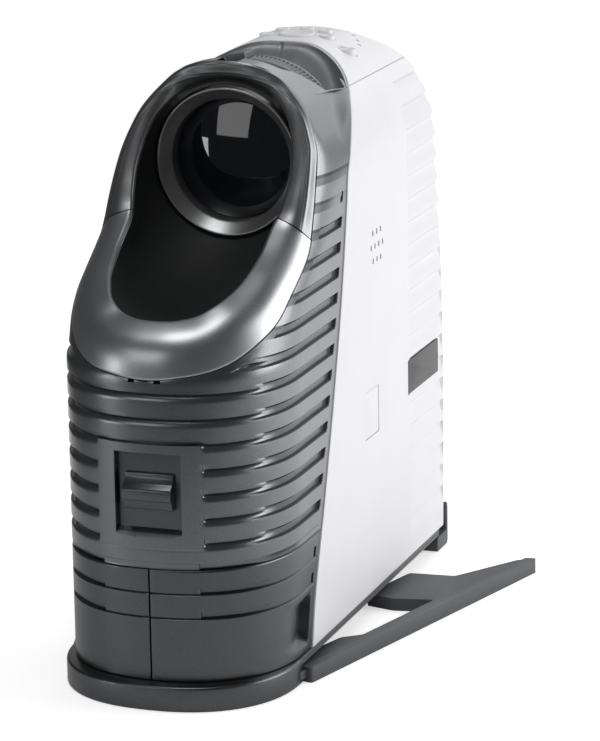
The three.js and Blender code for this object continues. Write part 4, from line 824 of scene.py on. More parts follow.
def edge_round(distance, radius=EDGE_RADIUS):
    """How far a skin is drawn in near a free edge: a quarter circle of the given radius."""
    t = np.clip(np.asarray(distance, float) / radius, 0, 1)
    return radius * (1 - np.sqrt(1 - (1 - t) ** 2))


# Face trims and funnel.
BAND_THICKNESS = 1.8
BAND_COLUMNS = 30
STATION_STEPS = 8
JOINT_HALF = 0.03
CHIN_BULGE = 0.17
HOOD_BULGE = 0.2
TRIM_RING_RADIUS = 32.0
FUNNEL_DEPTH = 107.0


def face_edges(stations):
    """Outer and inner edges of the face trims: splines through mirrored stations, so both ends run level."""
    size = [BODY_WIDTH, BODY_DEPTH, BODY_HEIGHT]
    outer = np.column_stack([FACE_OUTER_X, np.zeros(len(FACE_OUTER_X)), FACE_OUTER_Z]) * size
    inner = np.column_stack([FACE_INNER_X, FACE_INNER_Y, FACE_INNER_Z]) * size
    curves = []
    for edge in (outer, inner):
        padded = np.concatenate([mirror_x(edge[3:0:-1]), edge, mirror_x(edge[-2:-5:-1])])
        curves.append(spline(padded, np.arange(-3, len(edge) + 3), stations))
    curves[0][:, 1] = nose_y(curves[0][:, 0], curves[0][:, 2])
    for curve in curves:
        curve[(stations <= 0) | (stations >= len(FACE_OUTER_X) - 1), 0] = 0
    return curves


def unit(vectors):
    """Vectors of length 1 in the same directions."""
    return vectors / np.maximum(np.linalg.norm(vectors, axis=-1, keepdims=True), 1e-9)


def band_frame(outer, inner):
    """Chords from the outer edge to the inner edge, and the forward directions square to them."""
    along = np.gradient(outer, axis=0)
    along[0] = [1, 0, 0] if outer[0, 0] == 0 else along[0]
    along[-1] = [1, 0, 0] if outer[-1, 0] == 0 else along[-1]
    normal = unit(np.cross(inner - outer, along))
    normal *= np.where(normal[:, 1:2] > 0, -1, 1)
    return inner - outer, normal


def band(lower, upper, bulge, ridge, trim=0.35):
    """Half of a face trim: P = outer + t chord + bulge length sin(pi t) normal, with a wall behind it.

    lower and upper give the end stations at t, so the joint between two trims can lean.
    Both long edges are rounded, and ridge(distance) adds the hood's fine double line.
    """
    rows = round((upper(0) - lower(0)) * STATION_STEPS) + 1
    skin, back = [], []
    for share in np.sort(np.concatenate([np.linspace(0, 1, BAND_COLUMNS), [0.006, 0.015, 0.994, 0.985]])):
        outer, inner = face_edges(np.linspace(lower(share), upper(share), rows))
        chord, normal = band_frame(outer, inner)
        length = np.linalg.norm(chord, axis=1)
        t = trim / length + (1 - trim / length) * share
        arch = bulge * length * np.sin(np.pi * t)
        eased = edge_round((t - trim / length) * length, 0.5) + edge_round((1 - t) * length, 0.7)
        base = outer + chord * t[:, None]
        skin.append(base + normal * (arch - eased + ridge((t - 0.3) * length))[:, None])
        back.append(base + normal * (arch - BAND_THICKNESS)[:, None])
    skin, back = np.stack(skin, 1), np.stack(back, 1)
    for grid in (skin, back):
        grid[outer[:, 0] == 0, :, 0] = 0
    return skin, back


def plain_ridge(distance):
    """No ridge at any distance, as on the chin."""
    return np.zeros_like(distance)


def hood_ridge(distance):
    """Two fine raised lines a third of the way in, one beside the other."""
    return 0.28 * (np.exp(-(distance / 0.55) ** 2) + np.exp(-(distance / 0.55 - 2.6) ** 2))


def joint_station(share, clearance):
    """Where the chin and the hood meet: the joint leans upwards from the outer to the inner edge."""
    return JOINT_STATION - 0.15 + 0.7 * share + clearance


def build_face_trims():
    """The chin below and the hood above, meeting at a fine joint on each side."""
    last = len(FACE_OUTER_X) - 1
    skin, back = band(lambda share: 0, lambda share: joint_station(share, -JOINT_HALF), CHIN_BULGE,
                      plain_ridge)
    points, faces = both_sides(*walls(skin, back, {"last_row", "first_column", "last_column"}))
    make_piece("chin_scoop_skin", points, faces, CHIN, "chin_scoop", sharp=40)
    skin, back = band(lambda share: joint_station(share, JOINT_HALF), lambda share: last, HOOD_BULGE,
                      hood_ridge)
    points, faces = both_sides(*walls(skin, back, {"first_row", "first_column", "last_column"}))
    make_piece("hood_arch_skin", points, faces, HOOD, "hood_arch", sharp=40)


def build_funnel():
    """A dished wall from just under the trims' inner edge back to a circle round the lens ring.

    Each line runs straight from the edge to the circle and dips outwards by a tenth of its length.
    """
    last = len(FACE_OUTER_X) - 1
    outer, inner = face_edges(np.linspace(0, last, last * STATION_STEPS + 1))
    chord, normal = band_frame(outer, inner)
    start = inner + unit(chord) * 0.2 - normal * 1.2
    bearing = np.arctan2(start[:, 2] - LENS_HEIGHT, start[:, 0])
    radius = TRIM_RING_RADIUS + GAP
    end = np.column_stack([radius * np.cos(bearing), np.full(len(bearing), FUNNEL_DEPTH),
                           LENS_HEIGHT + radius * np.sin(bearing)])
    outward = np.column_stack([np.cos(bearing), np.zeros(len(bearing)), np.sin(bearing)])
    t = np.linspace(0, 1, 26)[None, :, None]
    length = np.linalg.norm(end - start, axis=1)[:, None, None]
    skin = start[:, None] * (1 - t) + end[:, None] * t + outward[:, None] * 0.1 * length * np.sin(np.pi * t)
    back = skin + outward[:, None] * 1.5
    for grid in (skin, back):
        grid[0, :, 0] = grid[-1, :, 0] = 0
    points, faces = both_sides(*walls(skin, back, {"first_column", "last_column"}))
    make_piece("lens_funnel_skin", points, faces, FUNNEL, "lens_funnel", sharp=50)


# Lower front covers and plinth.
LEDGES = (TOP_GROOVE - 13 * GROOVE_PITCH, TOP_GROOVE - 14 * GROOVE_PITCH)
LEDGE_STEPS = [4.6, 4.2, 4.1, 3.6, 3.3, 3.0, 2.7, 2.5, 2.4, 2.25, 2.0, 1.4, 0.8,
               0.3, 0.1, 0.0, -0.12, -0.35, -0.7, -1.1, -1.6, -2.1, -2.7, -3.3, -4.2]
SCOOP = (13.5, 35.5, 27.0)


def cover_sink(z, points):
    """Ledges right round, slots on the flanks, a notch before the seam and the finger scoop."""
    x, y = points[:, 0], points[:, 1]
    seam = float(seam_depth(z))
    sink = np.zeros(len(points))
    flank = smooth(20.6, 21.3, x) * (1 - smooth(17, 33, y))
    for top in LEDGES:
        drop = top - z
        if 0 <= drop < 3.4:
            slot = 1.9 * smooth(0, 0.15, drop) * (1 - smooth(2.3, 3.3, drop))
            ledge = 0.85 * smooth(2.3, 2.45, drop) * (1 - smooth(2.5, 3.4, drop))
            sink = np.maximum(sink, flank * slot + (1 - flank) * ledge)
        if -1.9 < drop < 1.9:
            sink = np.maximum(sink, 2.0 * ((y > seam - 7.2) & (y < seam - 4.9)))
    if z > LEDGES[1] - 0.1:
        return sink
    bottom, top, length = SCOOP
    level = smooth(bottom, bottom + 6, z) * (1 - smooth(top - 5, top, z))
    reach = np.clip((y - (seam - 6 - length)) / length, 0, 1)
    dish = 4.6 * reach ** 1.7 * (1 - smooth(seam - 6.5, seam - 6.0, y))
    return np.maximum(sink, dish * level * (y > seam - 6 - length))


def build_covers():
    """Two covers below the ribs, each a curved wall from the middle to the seam."""
    heights = set(np.linspace(PLINTH_HEIGHT + GAP, COVER_TOP, 46).round(3))
    for top in LEDGES:
        heights = {z for z in heights if not -LEDGE_STEPS[0] < top - z < LEDGE_STEPS[0]}
        heights |= {round(top - step, 3) for step in LEDGE_STEPS}
    heights |= {PLINTH_HEIGHT + GAP + 0.15, PLINTH_HEIGHT + GAP + 0.45}
    heights |= {COVER_TOP - step for step in (0.1, 0.25, 0.45, 0.7, 0.9)}
    heights = np.array(sorted(heights))
    lead = np.array([0.2, 0.35, 0.65, 3, 8, 13, 17, 19, 20, 20.7, 21.2, 21.7, 22.3, 23.2])
    tail = np.array([34, 32, 30, 28, 26, 24, 22, 20, 18, 16, 14, 12, 10, 8.4, 7.3, 7.15, 6.8, 6.5, 6.25, 6.0,
                     5.6, 5.0, 4.85, 4.4, 2, 0.9, 0.45, 0.15, 0])
    outer, inner = [], []
    for z in heights:
        end = arc_at_depth(z, SHELL_INSET, float(seam_depth(z)) - GAP / 2)
        arcs = np.concatenate([lead, np.linspace(24, end - 35, 22), end - tail])
        plain = level_points(z, arcs, SHELL_INSET)
        edge = edge_round(np.minimum(np.minimum(arcs - arcs[0], arcs[-1] - arcs), z - heights[0]))
        edge = np.maximum(edge, edge_round(heights[-1] - z, 0.9))
        sink = cover_sink(z, plain)
        outer.append(level_points(z, arcs, SHELL_INSET, sink + edge))
        inner.append(level_points(z, arcs, SHELL_INSET, SHELL_WALL + np.maximum(sink - 1, 0)))
    points, faces = walls(np.array(outer), np.array(inner))
    for side, name in ((1, "right"), (-1, "left")):
        make_piece(f"front_cover_{name}_skin", points * [side, 1, 1], faces, SHELL, f"front_cover_{name}")


FOOT_ANGLE = math.radians(15.4)
FOOT_PIVOT = (40.0, 38.0)
TILT_FOOT_DEPTH = 26.0


def placed_foot(outline, angle=FOOT_ANGLE):
    """Points of a foot, drawn with its pivot at the origin and its bar along y, swung out to its place."""
    outline = np.asarray(outline, float)
    x = outline[:, 0] * math.cos(angle) + outline[:, 1] * math.sin(angle)
    y = outline[:, 1] * math.cos(angle) - outline[:, 0] * math.sin(angle)
    return np.column_stack([x, y]) + FOOT_PIVOT


def circle(x, y, radius, steps=48):
    """A flat circle of points round x, y."""
    angles = np.linspace(0, 2 * np.pi, steps, endpoint=False)
    return np.column_stack([x + radius * np.cos(angles), y + radius * np.sin(angles)])


def hinge_room():
    """The room that a foot's tongue sweeps inside the plinth, as a flat outline."""
    radius, reach = 6.8, 60.0
    behind = np.linspace(math.pi, 2 * math.pi, 13)
    arc = np.column_stack([radius * np.cos(behind), radius * np.sin(behind)])
    folded = placed_foot([(radius, reach), (-radius, reach), *arc[:7]], 0)
    swung = placed_foot([*arc[6:], (radius, reach)])
    return np.concatenate([folded[1:], swung])


PLINTH_OVERHANG = 0.6
PLINTH_LENGTH = 50.0
TONGUE_ROOM = (1.5, 5.7)


def build_plinth():
    """The plinth's outline is the nose oval, a little proud of the body, with soft upper and lower edges."""
    turn = np.linspace(0, np.pi / 2, 70)
    x = (BODY_WIDTH / 2 + PLINTH_OVERHANG) * np.sin(turn) ** (2 / NOSE_ROUNDNESS)
    y = PLINTH_LENGTH - PLINTH_LENGTH * np.cos(turn) ** (2 / NOSE_ROUNDNESS)
    right = np.column_stack([x, y])
    outline = np.concatenate([right, mirror_2d(right[1:])[::-1]])
    points, faces = extruded(outline, 0, PLINTH_HEIGHT, 1.1)
    piece = make_piece("plinth_skin", points, faces, SHELL, "plinth")
    room = hinge_room()
    carve(piece, [extruded(room, *TONGUE_ROOM), extruded(mirror_2d(room)[::-1], *TONGUE_ROOM),
                  extruded(circle(0, TILT_FOOT_DEPTH, 9.4), -1, 4.4),
                  extruded(circle(0, TILT_FOOT_DEPTH, 4.4), -1, 12)])


def mirror_2d(outline):
    """A flat outline on the other side of the centre line."""
    return np.asarray(outline) * [-1, 1]


# Stabiliser feet.
FOOT_OUTLINE = [(9.2, 16), (9.2, 195), (1.7, 191.5), (-9.5, 156), (-29, 149), (-29, 114), (-15, 114),
                (1.2, 122), (1.2, 66), (-4.6, 58), (-6.5, 16)]
TONGUE_LEVELS = (1.8, 5.4)


def build_feet():
    """Each foot: a plate with a raised outer rim, a hinge tongue with its eye, and soft edges."""
    plate = placed_foot(rounded(FOOT_OUTLINE, 1.5, 4))
    low = placed_foot([(4.6, -20), (4.6, 193.5), (-60, 170), (-60, -20)])
    tongue = placed_foot([(6.5, 0), (6.5, 18), (-6.5, 18), (-6.5, 0)])
    for side, name in ((1, "right"), (-1, "left")):
        flip = slice(None, None, side)
        points, faces = extruded((plate * [side, 1])[flip], 0, 6.6)
        piece = make_piece(f"foot_{name}_shaped", points, faces, FOOT, f"foot_{name}", f"foot_{name}")
        carve(piece, [extruded((low * [side, 1])[flip], 5.6, 20)])
        pivot = np.array(FOOT_PIVOT) * [side, 1]
        combine(piece, [extruded((tongue * [side, 1])[flip], *TONGUE_LEVELS),
                        extruded(circle(*pivot, 6.5), *TONGUE_LEVELS)])
        carve(piece, [extruded(circle(*pivot, 2.5, 24), 0, 8)])
        soften(piece, 0.5)


# Latch.
def tapered_window():
    """The window's cutter: a block whose four walls slope in towards the tray's floor."""
    front, back = (15.8, 68.4, 106.8, 3.0), (13.3, 74.0, 105.4, 11.0)
    points = []
    for half, bottom, top, depth in (front, back):
        points += [(-half, depth, bottom), (half, depth, bottom), (half, depth, top), (-half, depth, top)]
    faces = grid_faces(2, 4, loop_columns=True) + [[3, 2, 1, 0], [4, 5, 6, 7]]
    return np.array(points, float), faces


def build_latch():
    """The tray behind the window and the wedge that slides on it."""
    points, faces = extruded(rounded(rectangle(-16.9, 68.6, 16.9, 107.9), 1), 8.8, 14.2, 0.3, axis="y")
    tray = make_piece("latch_tray_sloped", points, faces, SHELL, "latch_tray")
    slot = extruded(rectangle(-4.3, 82, 4.3, 96), 9, 16, axis="y")
    carve(tray, [tapered_window(), slot])
    shade(tray, 20)
    wedge = [(10.7, 82), (8.2, 82.2), (6.3, 86.2), (5.6, 87.0), (5.5, 90.6), (6.1, 91.5), (8.3, 93.0),
             (9.6, 95.2), (9.9, 97), (10.7, 97)]
    points, faces = extruded(rounded(wedge, 0.5, 4), -10.5, 10.5, 0.35, axis="x")
    slider = make_piece("latch_slider_wedge", points, faces, SHELL, "latch_slider", "latch_slider")
    stem = extruded(rectangle(10, 90.6, 14.8, 95.4), -4, 4, axis="x")
    combine(slider, [stem, extruded(rectangle(14.5, 90.7, 19.1, 95.3), -5, 5, 0.3, axis="x")])
    shade(slider, 30)


SPRING_WIRE = 0.6
SPRING_TURNS = 6


def build_latch_spring():
    """A coil at (r + w cos s) (cos t, sin t) and height h t + w sin s."""
    low, high = (np.array(corner) * 1000 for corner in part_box("latch_spring"))
    middle = (low + high) / 2
    along = np.linspace(0, 1, SPRING_TURNS * 24 + 1)[:, None]
    turn = 2 * np.pi * SPRING_TURNS * along
    wire = np.linspace(0, 2 * np.pi, 8, endpoint=False)
    reach = (high[0] - low[0]) / 2 - SPRING_WIRE + SPRING_WIRE * np.cos(wire)
    climb = low[2] + SPRING_WIRE + (high[2] - low[2] - 2 * SPRING_WIRE) * along
    points = np.stack([middle[0] + reach * np.cos(turn), middle[1] + BODY_DEPTH / 2 + reach * np.sin(turn),
                       climb + SPRING_WIRE * np.sin(wire)], axis=-1)
    rows, columns = points.shape[:2]
    faces = grid_faces(rows, columns, loop_columns=True)
    faces += [list(range(columns)), list(range((rows - 1) * columns, rows * columns))]
    spring = make_piece("latch_coil", points.reshape(-1, 3), faces, STEEL, "latch_spring")
    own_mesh(spring)


# Lens.
DOME_RADIUS = 25.9
DOME_RISE = 4.7
DOME_REAR = 117.2


def build_lens():
    """Trim ring, barrel and dome, all turned round the lens axis."""
    centre = (0, 0, LENS_HEIGHT)
    trim = [(31.1, 105.2), (31.5, 105.6), (31.5, 119.5), (26.2, 119.5), (26.2, 110.4), (26.6, 109.8),
            (30.3, 105.5), (30.7, 105.2)]
    points, faces = turned(rounded(trim, 0.25, 4), centre, 160)
    make_piece("lens_trim_ring_turned", points, faces, RING_METAL, "lens_trim_ring")
    barrel = [(24.6, 117.6), (26.0, 117.6), (26.0, 119.8), (31, 119.8), (31, 165.7), (24.6, 165.7)]
    points, faces = turned(rounded(barrel, 0.3, 4), centre, 128)
    make_piece("lens_barrel_turned", points, faces, BLACK, "lens_barrel")
    radius = np.linspace(DOME_RADIUS, 0, 30)
    dome = np.column_stack([radius, DOME_REAR - DOME_RISE * (1 - (radius / DOME_RADIUS) ** 2)])
    outline = np.concatenate([[(0, 120), (24.4, 120), (24.4, 117.4), (DOME_RADIUS, 117.4)], dome])
    points, faces = turned(outline, centre, 128)
    make_piece("front_lens_dome", points, faces, GLASS, "front_lens")


RING_RADIUS = 38.3
RING_BORE = 31.3
RING_TEETH = 120


def gripped_ring(start, width):
    """A ring whose outer face has fine grip grooves between two plain bands."""
    steps = RING_TEETH * 4
    angles = np.linspace(0, 2 * np.pi, steps, endpoint=False)
    groove = np.isin(np.arange(steps) % 4, (0, 1)) * 0.45
    lead = np.array([0, 0.5, 2.4, 2.5, 2.9])
    depths = start + np.concatenate([lead, width - lead[::-1]])
    drawn = np.array([0.5, 0, 0, 0, 1, 1, 0, 0, 0, 0.5])
    ring = []
    for depth, share in zip(depths, drawn):
        plain = 0.5 if depth in (depths[0], depths[-1]) else 0
        ring.append((RING_RADIUS - plain - (groove if share == 1 else 0), depth))
    ring += [(RING_BORE, depths[-1]), (RING_BORE, depths[0])]
    points = np.stack([np.stack([radius * np.cos(angles), np.full(steps, depth),
                                 LENS_HEIGHT + radius * np.sin(angles)], -1) for radius, depth in ring], 1)
    return points.reshape(-1, 3), grid_faces(steps, len(ring), loop_rows=True, loop_columns=True)


def build_control_rings():
    """Focus ring in front, zoom ring with its lever behind."""
    points, faces = gripped_ring(121, 13)
    make_piece("focus_ring_gripped", points, faces, CONTROL_RING, "focus_ring", "focus_ring")
    points, faces = gripped_ring(136, 13)
    ring = make_piece("zoom_ring_gripped", points, faces, CONTROL_RING, "zoom_ring", "zoom_ring")
    turn = math.radians(-10)
    points, lever_faces = extruded(rounded(rectangle(-4.5, 136.2, 4.5, 148.8), 1.2), 36.5, 40.9, 0.6)
    x = points[:, 0] * math.cos(turn) + points[:, 2] * math.sin(turn)
    z = LENS_HEIGHT + points[:, 2] * math.cos(turn) - points[:, 0] * math.sin(turn)
    combine(ring, [(np.column_stack([x, points[:, 1], z]), lever_faces)])
    shade(ring, 32)


RECESS_HALF = 37.6
RECESS_LEAN = 11.5
RECESS_FOOT_DEPTH = 152.3
RECESS_BOTTOM = (214.2, 236.9)
RING_OVERLAP = 6
RECESS_WALL = 2.3
CREASE = 0.35


def build_recess_wall():
    """A wall under the roof's front rim, leaning forward at its foot, cut to clear the rings."""
    x = np.linspace(-RECESS_HALF, RECESS_HALF, 121)
    rim = rim_depth(x) - GAP
    lean = np.clip(rim - RECESS_FOOT_DEPTH, 0, RECESS_LEAN)
    ring = LENS_HEIGHT + np.sqrt(np.maximum(RING_RADIUS ** 2 - x ** 2, 0))
    bottom = np.clip(ring - RING_OVERLAP, *RECESS_BOTTOM)
    top = roof_z(x) - GAP
    t = np.linspace(0, 1, 16)
    ease = 1 - np.cos(t * np.pi / 2)
    z = top[:, None] + (bottom - top)[:, None] * t
    y = rim[:, None] - lean[:, None] * ease
    crease = CREASE * np.exp(-(x / CREASE) ** 2)[:, None]
    across = np.broadcast_to(x[:, None], z.shape)
    points, faces = walls(np.stack([across, y - RECESS_WALL + crease, z], -1), np.stack([across, y, z], -1))
    make_piece("recess_wall_curved", points, faces, RECESS, "recess_wall")


# White housing.
TOP_RIB = 224.9
RIB_COUNT = 20
RIB_DEPTH = 1.3
RIB_LINE = 0.6
SLIT_DEPTH = 1.8
RIB_STEPS = [-0.25, -0.02, 0.1, 0.25, 0.45, 0.8, 1.4, 2.2, 3.2, 4.6, 6.2, 8.0, 9.4]
CORNER_STEPS = 14
PANEL_FACE = 48.0
POCKETS = [(197.5, 85, 243, 101), (137, 80, 156, 101)]
SPEAKER_DEPTH = 155.9
SPEAKER_PITCH = 5.2
SPEAKER_ROWS = ((3, 168.4), (4, 162.3), (3, 156.2))


def panel_row(z, x_side, stations, rear, inset, stop_x, sink=None):
    """One level of the white housing: straight side, round corner, then the rear wall."""
    half, back = x_side - inset, rear - inset
    radius = min(REAR_CORNER - inset / 2, half * 0.85)
    side = np.column_stack([np.full(len(stations), half), stations])
    side[:, 1] = np.minimum(side[:, 1], back - radius)
    turn = np.linspace(0, np.pi / 2, CORNER_STEPS + 1)[1:]
    corner = np.column_stack([half - radius + radius * np.cos(turn), back - radius + radius * np.sin(turn)])
    across = np.linspace(half - radius, min(stop_x, half - radius), 7)[1:]
    wall = np.column_stack([across, np.full(6, back)])
    points = np.concatenate([side, corner, wall])
    if sink is not None:
        points[:, 0] -= sink(z, points)
    return np.column_stack([points, np.full(len(points), z)])


def rib_sink(z, points):
    """Shingles near the rear edge: each rib's face leans out to its lower edge, with a shadow gap below."""
    y = points[:, 1]
    row = math.floor((TOP_RIB - z) / GROOVE_PITCH)
    if not 0 <= row < RIB_COUNT:
        return np.zeros(len(points))
    drop = TOP_RIB - GROOVE_PITCH * row - z
    slope = RIB_DEPTH * smooth(0, 0.25, drop) * (1 - smooth(2.5, GROOVE_PITCH, drop))
    line = RIB_LINE * smooth(0, 0.15, drop) * (1 - smooth(0.7, 1.1, drop))
    zone = smooth(200, 201.6, y) * (1 - smooth(249.4, 250.4, y))
    slit = smooth(246.5, 247.2, y) * (1 - smooth(249.0, 249.6, y)) * smooth(0, 0.2, drop)
    return zone * np.maximum(slope + line, SLIT_DEPTH * slit * (1 - smooth(2.4, 3.4, drop)))


def panel_levels():
    """Heights of the side panel's rows: bottom edge, every rib's steps, top edge."""
    low, high = PANEL_BOTTOM, SIDE_SEAM_HEIGHT - GAP / 2
    heights = {low, low + 0.15, low + 0.45, high, high - 0.15, high - 0.45, 226.5, 228.5}
    for k in range(RIB_COUNT + 1):
        top = TOP_RIB - GROOVE_PITCH * k
        heights |= {top - step for step in RIB_STEPS}
    return np.array(sorted(z for z in heights if low <= z <= high))


def side_x(z):
    """Half width of the white housing at height z: the straight side limited by the roof line."""
    return soft_minimum(BODY_WIDTH / 2, roof_x(z))


def side_stations(z, start):
    """Depths of the points along a side panel's row, close together where the ribs start and end."""
    lead = start + np.array([0, 0.15, 0.45, 2, 6])
    middle = np.linspace(start + 10, 197.5, 18)
    ribs = np.array([199.4, 199.9, 200.2, 200.6, 201.1, 201.6, 202.2, 206, 214, 222, 230, 238])
    return np.concatenate([lead, middle, ribs])


def build_side_panels():
    """The two white panels with shingled ribs; the right one has speaker slits and two shallow pockets."""
    heights = panel_levels()
    outer, inner = [], []
    for z in heights:
        rear, half = float(rear_depth(z)), side_x(z)
        start = float(seam_depth(z)) + GAP / 2
        stations = side_stations(z, start)
        tail = np.minimum(rear, 254.5) - REAR_CORNER - np.array([6.0, 3.0, 1.0, 0])
        stations = np.concatenate([stations, np.maximum(tail, stations[-1] + 0.1)])
        level = min(z - heights[0], heights[-1] - z)
        row = panel_row(z, half, stations, rear, 0, REAR_PANEL_HALF + GAP / 2, rib_sink)
        path = np.concatenate([[0], np.cumsum(np.linalg.norm(np.diff(row, axis=0), axis=1))])
        edge = edge_round(np.minimum(np.minimum(path, path[-1] - path), level))
        row[:, 0] -= edge * (row[:, 1] < rear - 1)
        row[:, 1] -= edge * (row[:, 1] >= rear - 1)
        outer.append(row)
        inner.append(panel_row(z, half, stations, rear, PANEL_WALL, REAR_PANEL_HALF + GAP / 2))
    points, faces = walls(np.array(outer), np.array(inner))
    make_piece("side_panel_left_skin", mirror_x(points), faces, WHITE, "side_panel_left", sharp=26)
    right = make_piece("side_panel_right_skin", points, faces, WHITE, "side_panel_right", sharp=26)
    cutters = [extruded(rounded(rectangle(*pocket), 1.0), PANEL_FACE, 60, axis="x") for pocket in POCKETS]
    for count, height in SPEAKER_ROWS:
        for i in range(count):
            depth = SPEAKER_DEPTH + SPEAKER_PITCH * (i - (count - 1) / 2)
            slit = rectangle(depth - 0.85, height - 1.3, depth + 0.85, height + 1.3)
            cutters.append(extruded(rounded(slit, 0.7), 40, 60, axis="x"))
    carve(right, cutters)
    shade(right, 26)
    plates = (("label_plate", LABEL, (197.8, 85.3, 242.7, 100.7), 0.18),
              ("badge_plate", WHITE, (137.3, 80.3, 155.7, 100.7), 0.3))
    for name, material, corners, bevel in plates:
        outline = rounded(rectangle(*corners), 0.8)
        points, faces = extruded(outline, PANEL_FACE + 0.05, PANEL_FACE + 0.85, bevel, axis="x")
        make_piece(f"{name}_bare", points, faces, material, name)


CONTROL_DEPTH = 196
BUTTON_RING = 14
DOT_RING = 27
DOT_ANGLES = [22, 33, 44, 55, 66]
POWER_X = 25
BUTTON_HOLES = [("navigation_pad", 0, CONTROL_DEPTH, 8.0),
                ("power_button", POWER_X, float(rim_depth(POWER_X)) + 18, 4.2)]
BUTTON_HOLES += [(f"control_button_{i + 1}", BUTTON_RING * math.cos(turn),
                  CONTROL_DEPTH + BUTTON_RING * math.sin(turn), 3.3)
                 for i, turn in enumerate(np.linspace(0, np.pi, 5))]


def build_top_cover():
    """The roof: rows at rising heights run back from the rim, round the rear corner and across behind."""
    start_z = SIDE_SEAM_HEIGHT + GAP / 2
    line = ROOF_LINE[ROOF_LINE[:, 1] > start_z]
    first = np.array([[side_x(start_z), start_z], [side_x(start_z + 0.5), start_z + 0.5]])
    line = np.concatenate([first, line[line[:, 1] > start_z + 0.8]])
    outer, inner = [], []
    share = np.concatenate([[0, 0.002, 0.006, 0.02], np.linspace(0.05, 1, 34)])
    for x, z in line:
        half = min(x, side_x(z)) if z < 244 else x
        under_z, under_x = z - PANEL_WALL * min(1, (z - start_z) / 4), max(half - PANEL_WALL, 0)
        for target, side, height, inset in ((outer, half, z, 0), (inner, under_x, under_z, PANEL_WALL)):
            rear = float(rear_depth(z)) - inset
            front = max(float(rim_depth(half)), float(seam_depth(z)) + GAP / 2)
            radius = min(REAR_CORNER - inset / 2, side * 0.85)
            stations = front + (rear - radius - front) * share
            row = panel_row(height, side, stations, rear, 0, 0)
            if target is outer:
                row[:, 2] -= edge_round(row[:, 1] - front, 0.6)
            target.append(row)
    outer[-1][:, 0] = inner[-1][:, 0] = 0
    points, faces = walls(np.array(outer), np.array(inner), {"first_row", "first_column"})
    points, faces = both_sides(points, faces)
    cover = make_piece("top_cover_skin", points, faces, WHITE, "top_cover", sharp=40)
    cutters = []
    for name, x, y, radius in BUTTON_HOLES:
        cutters.append(extruded(circle(x, y, radius + GAP), 225, 260))
    for angle in map(math.radians, DOT_ANGLES + [180 - angle for angle in DOT_ANGLES[::-1]]):
        x, y = DOT_RING * math.cos(angle), CONTROL_DEPTH + DOT_RING * math.sin(angle)
        cutters.append(extruded(circle(x, y, 1.1, 20), float(roof_z(x)) - 1, 260))
    carve(cover, cutters)
    shade(cover, 40)


def build_buttons():
    """Each button: a turned cap with a soft edge and a shallow dish, on a wider flange."""
    for name, x, y, radius in BUTTON_HOLES:
        low, high = (corner[2] * 1000 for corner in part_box(name))
        rim = np.linspace(radius - 0.9, 0, 12)
        dish = np.column_stack([rim, high - 0.35 * (1 - (rim / (radius - 0.9)) ** 2)])
        outline = [(0, low), (radius + 1, low), (radius + 1, low + 0.9), (radius, low + 0.9),
                   (radius, high - 0.7), (radius - 0.2, high - 0.2), (radius - 0.7, high), *dish]
        points, faces = turned(np.array(outline), (x, y, 0), 64, axis="z")
        make_piece(f"{name}_cap", points, faces, BUTTON, name, name)


REAR_HALF = 34.85
REAR_TOP = 230.85
VENT_COUNT = 8
VENT_PITCH = 6.2
VENT_BOTTOM = 18
VENT_HEIGHT = 3
VENT_HALF = 23
EYE_HEIGHT = 196


def build_rear_panel():
    """The flat rear wall, carved for the vents, the mains inlet, the connector plate and the eye window."""
    rim = np.array([0, 0.15, 0.45])
    x = np.concatenate([rim - REAR_HALF, np.linspace(-30, 30, 21), REAR_HALF - rim[::-1]])
    heights = np.concatenate([PANEL_BOTTOM + rim, np.linspace(14, 228, 60), REAR_TOP - rim[::-1]])
    depth = rear_depth(heights)
    edge = np.minimum(np.minimum(x[None] + REAR_HALF, REAR_HALF - x[None]),
                      np.minimum(heights - PANEL_BOTTOM, REAR_TOP - heights)[:, None])
    shape = (len(heights), len(x))
    grid = [np.broadcast_to(x[None], shape), None, np.broadcast_to(heights[:, None], shape)]
    outer = np.stack([grid[0], depth[:, None] - edge_round(edge), grid[2]], -1)
    inner = np.stack([grid[0], np.broadcast_to(depth[:, None] - PANEL_WALL, shape), grid[2]], -1)
    points, faces = walls(outer, inner)
    panel = make_piece("rear_panel_skin", points, faces, WHITE, "rear_panel")
    cutters = []
    for i in range(VENT_COUNT):
        z = VENT_BOTTOM + VENT_PITCH * i
        outline = rounded(rectangle(-VENT_HALF, z, VENT_HALF, z + VENT_HEIGHT), 1.3)
        cutters.append(extruded(outline, 240, 262, axis="y"))
    cutters.append(extruded(rounded(rectangle(-13.8, 74.7, 13.8, 95.3), 1.5), 240, 262, axis="y"))
    cutters.append(sheared(extruded(rounded(rectangle(-24.3, 103.7, 24.3, 176.3), 1.5), -1.8, 12, axis="y")))
    cutters.append(extruded(circle(0, EYE_HEIGHT, 4.3), 225, 262, axis="y"))
    carve(panel, cutters)
    shade(panel, 30)


def sheared(solid):
    """Moves each point of a solid back by the rear wall's depth at its height."""
    points, faces = solid
    points = np.array(points)
    points[:, 1] += rear_depth(points[:, 2])
    return points, faces


# Base.
PAN_REAR = 251.0
PAN_CORNER = 9


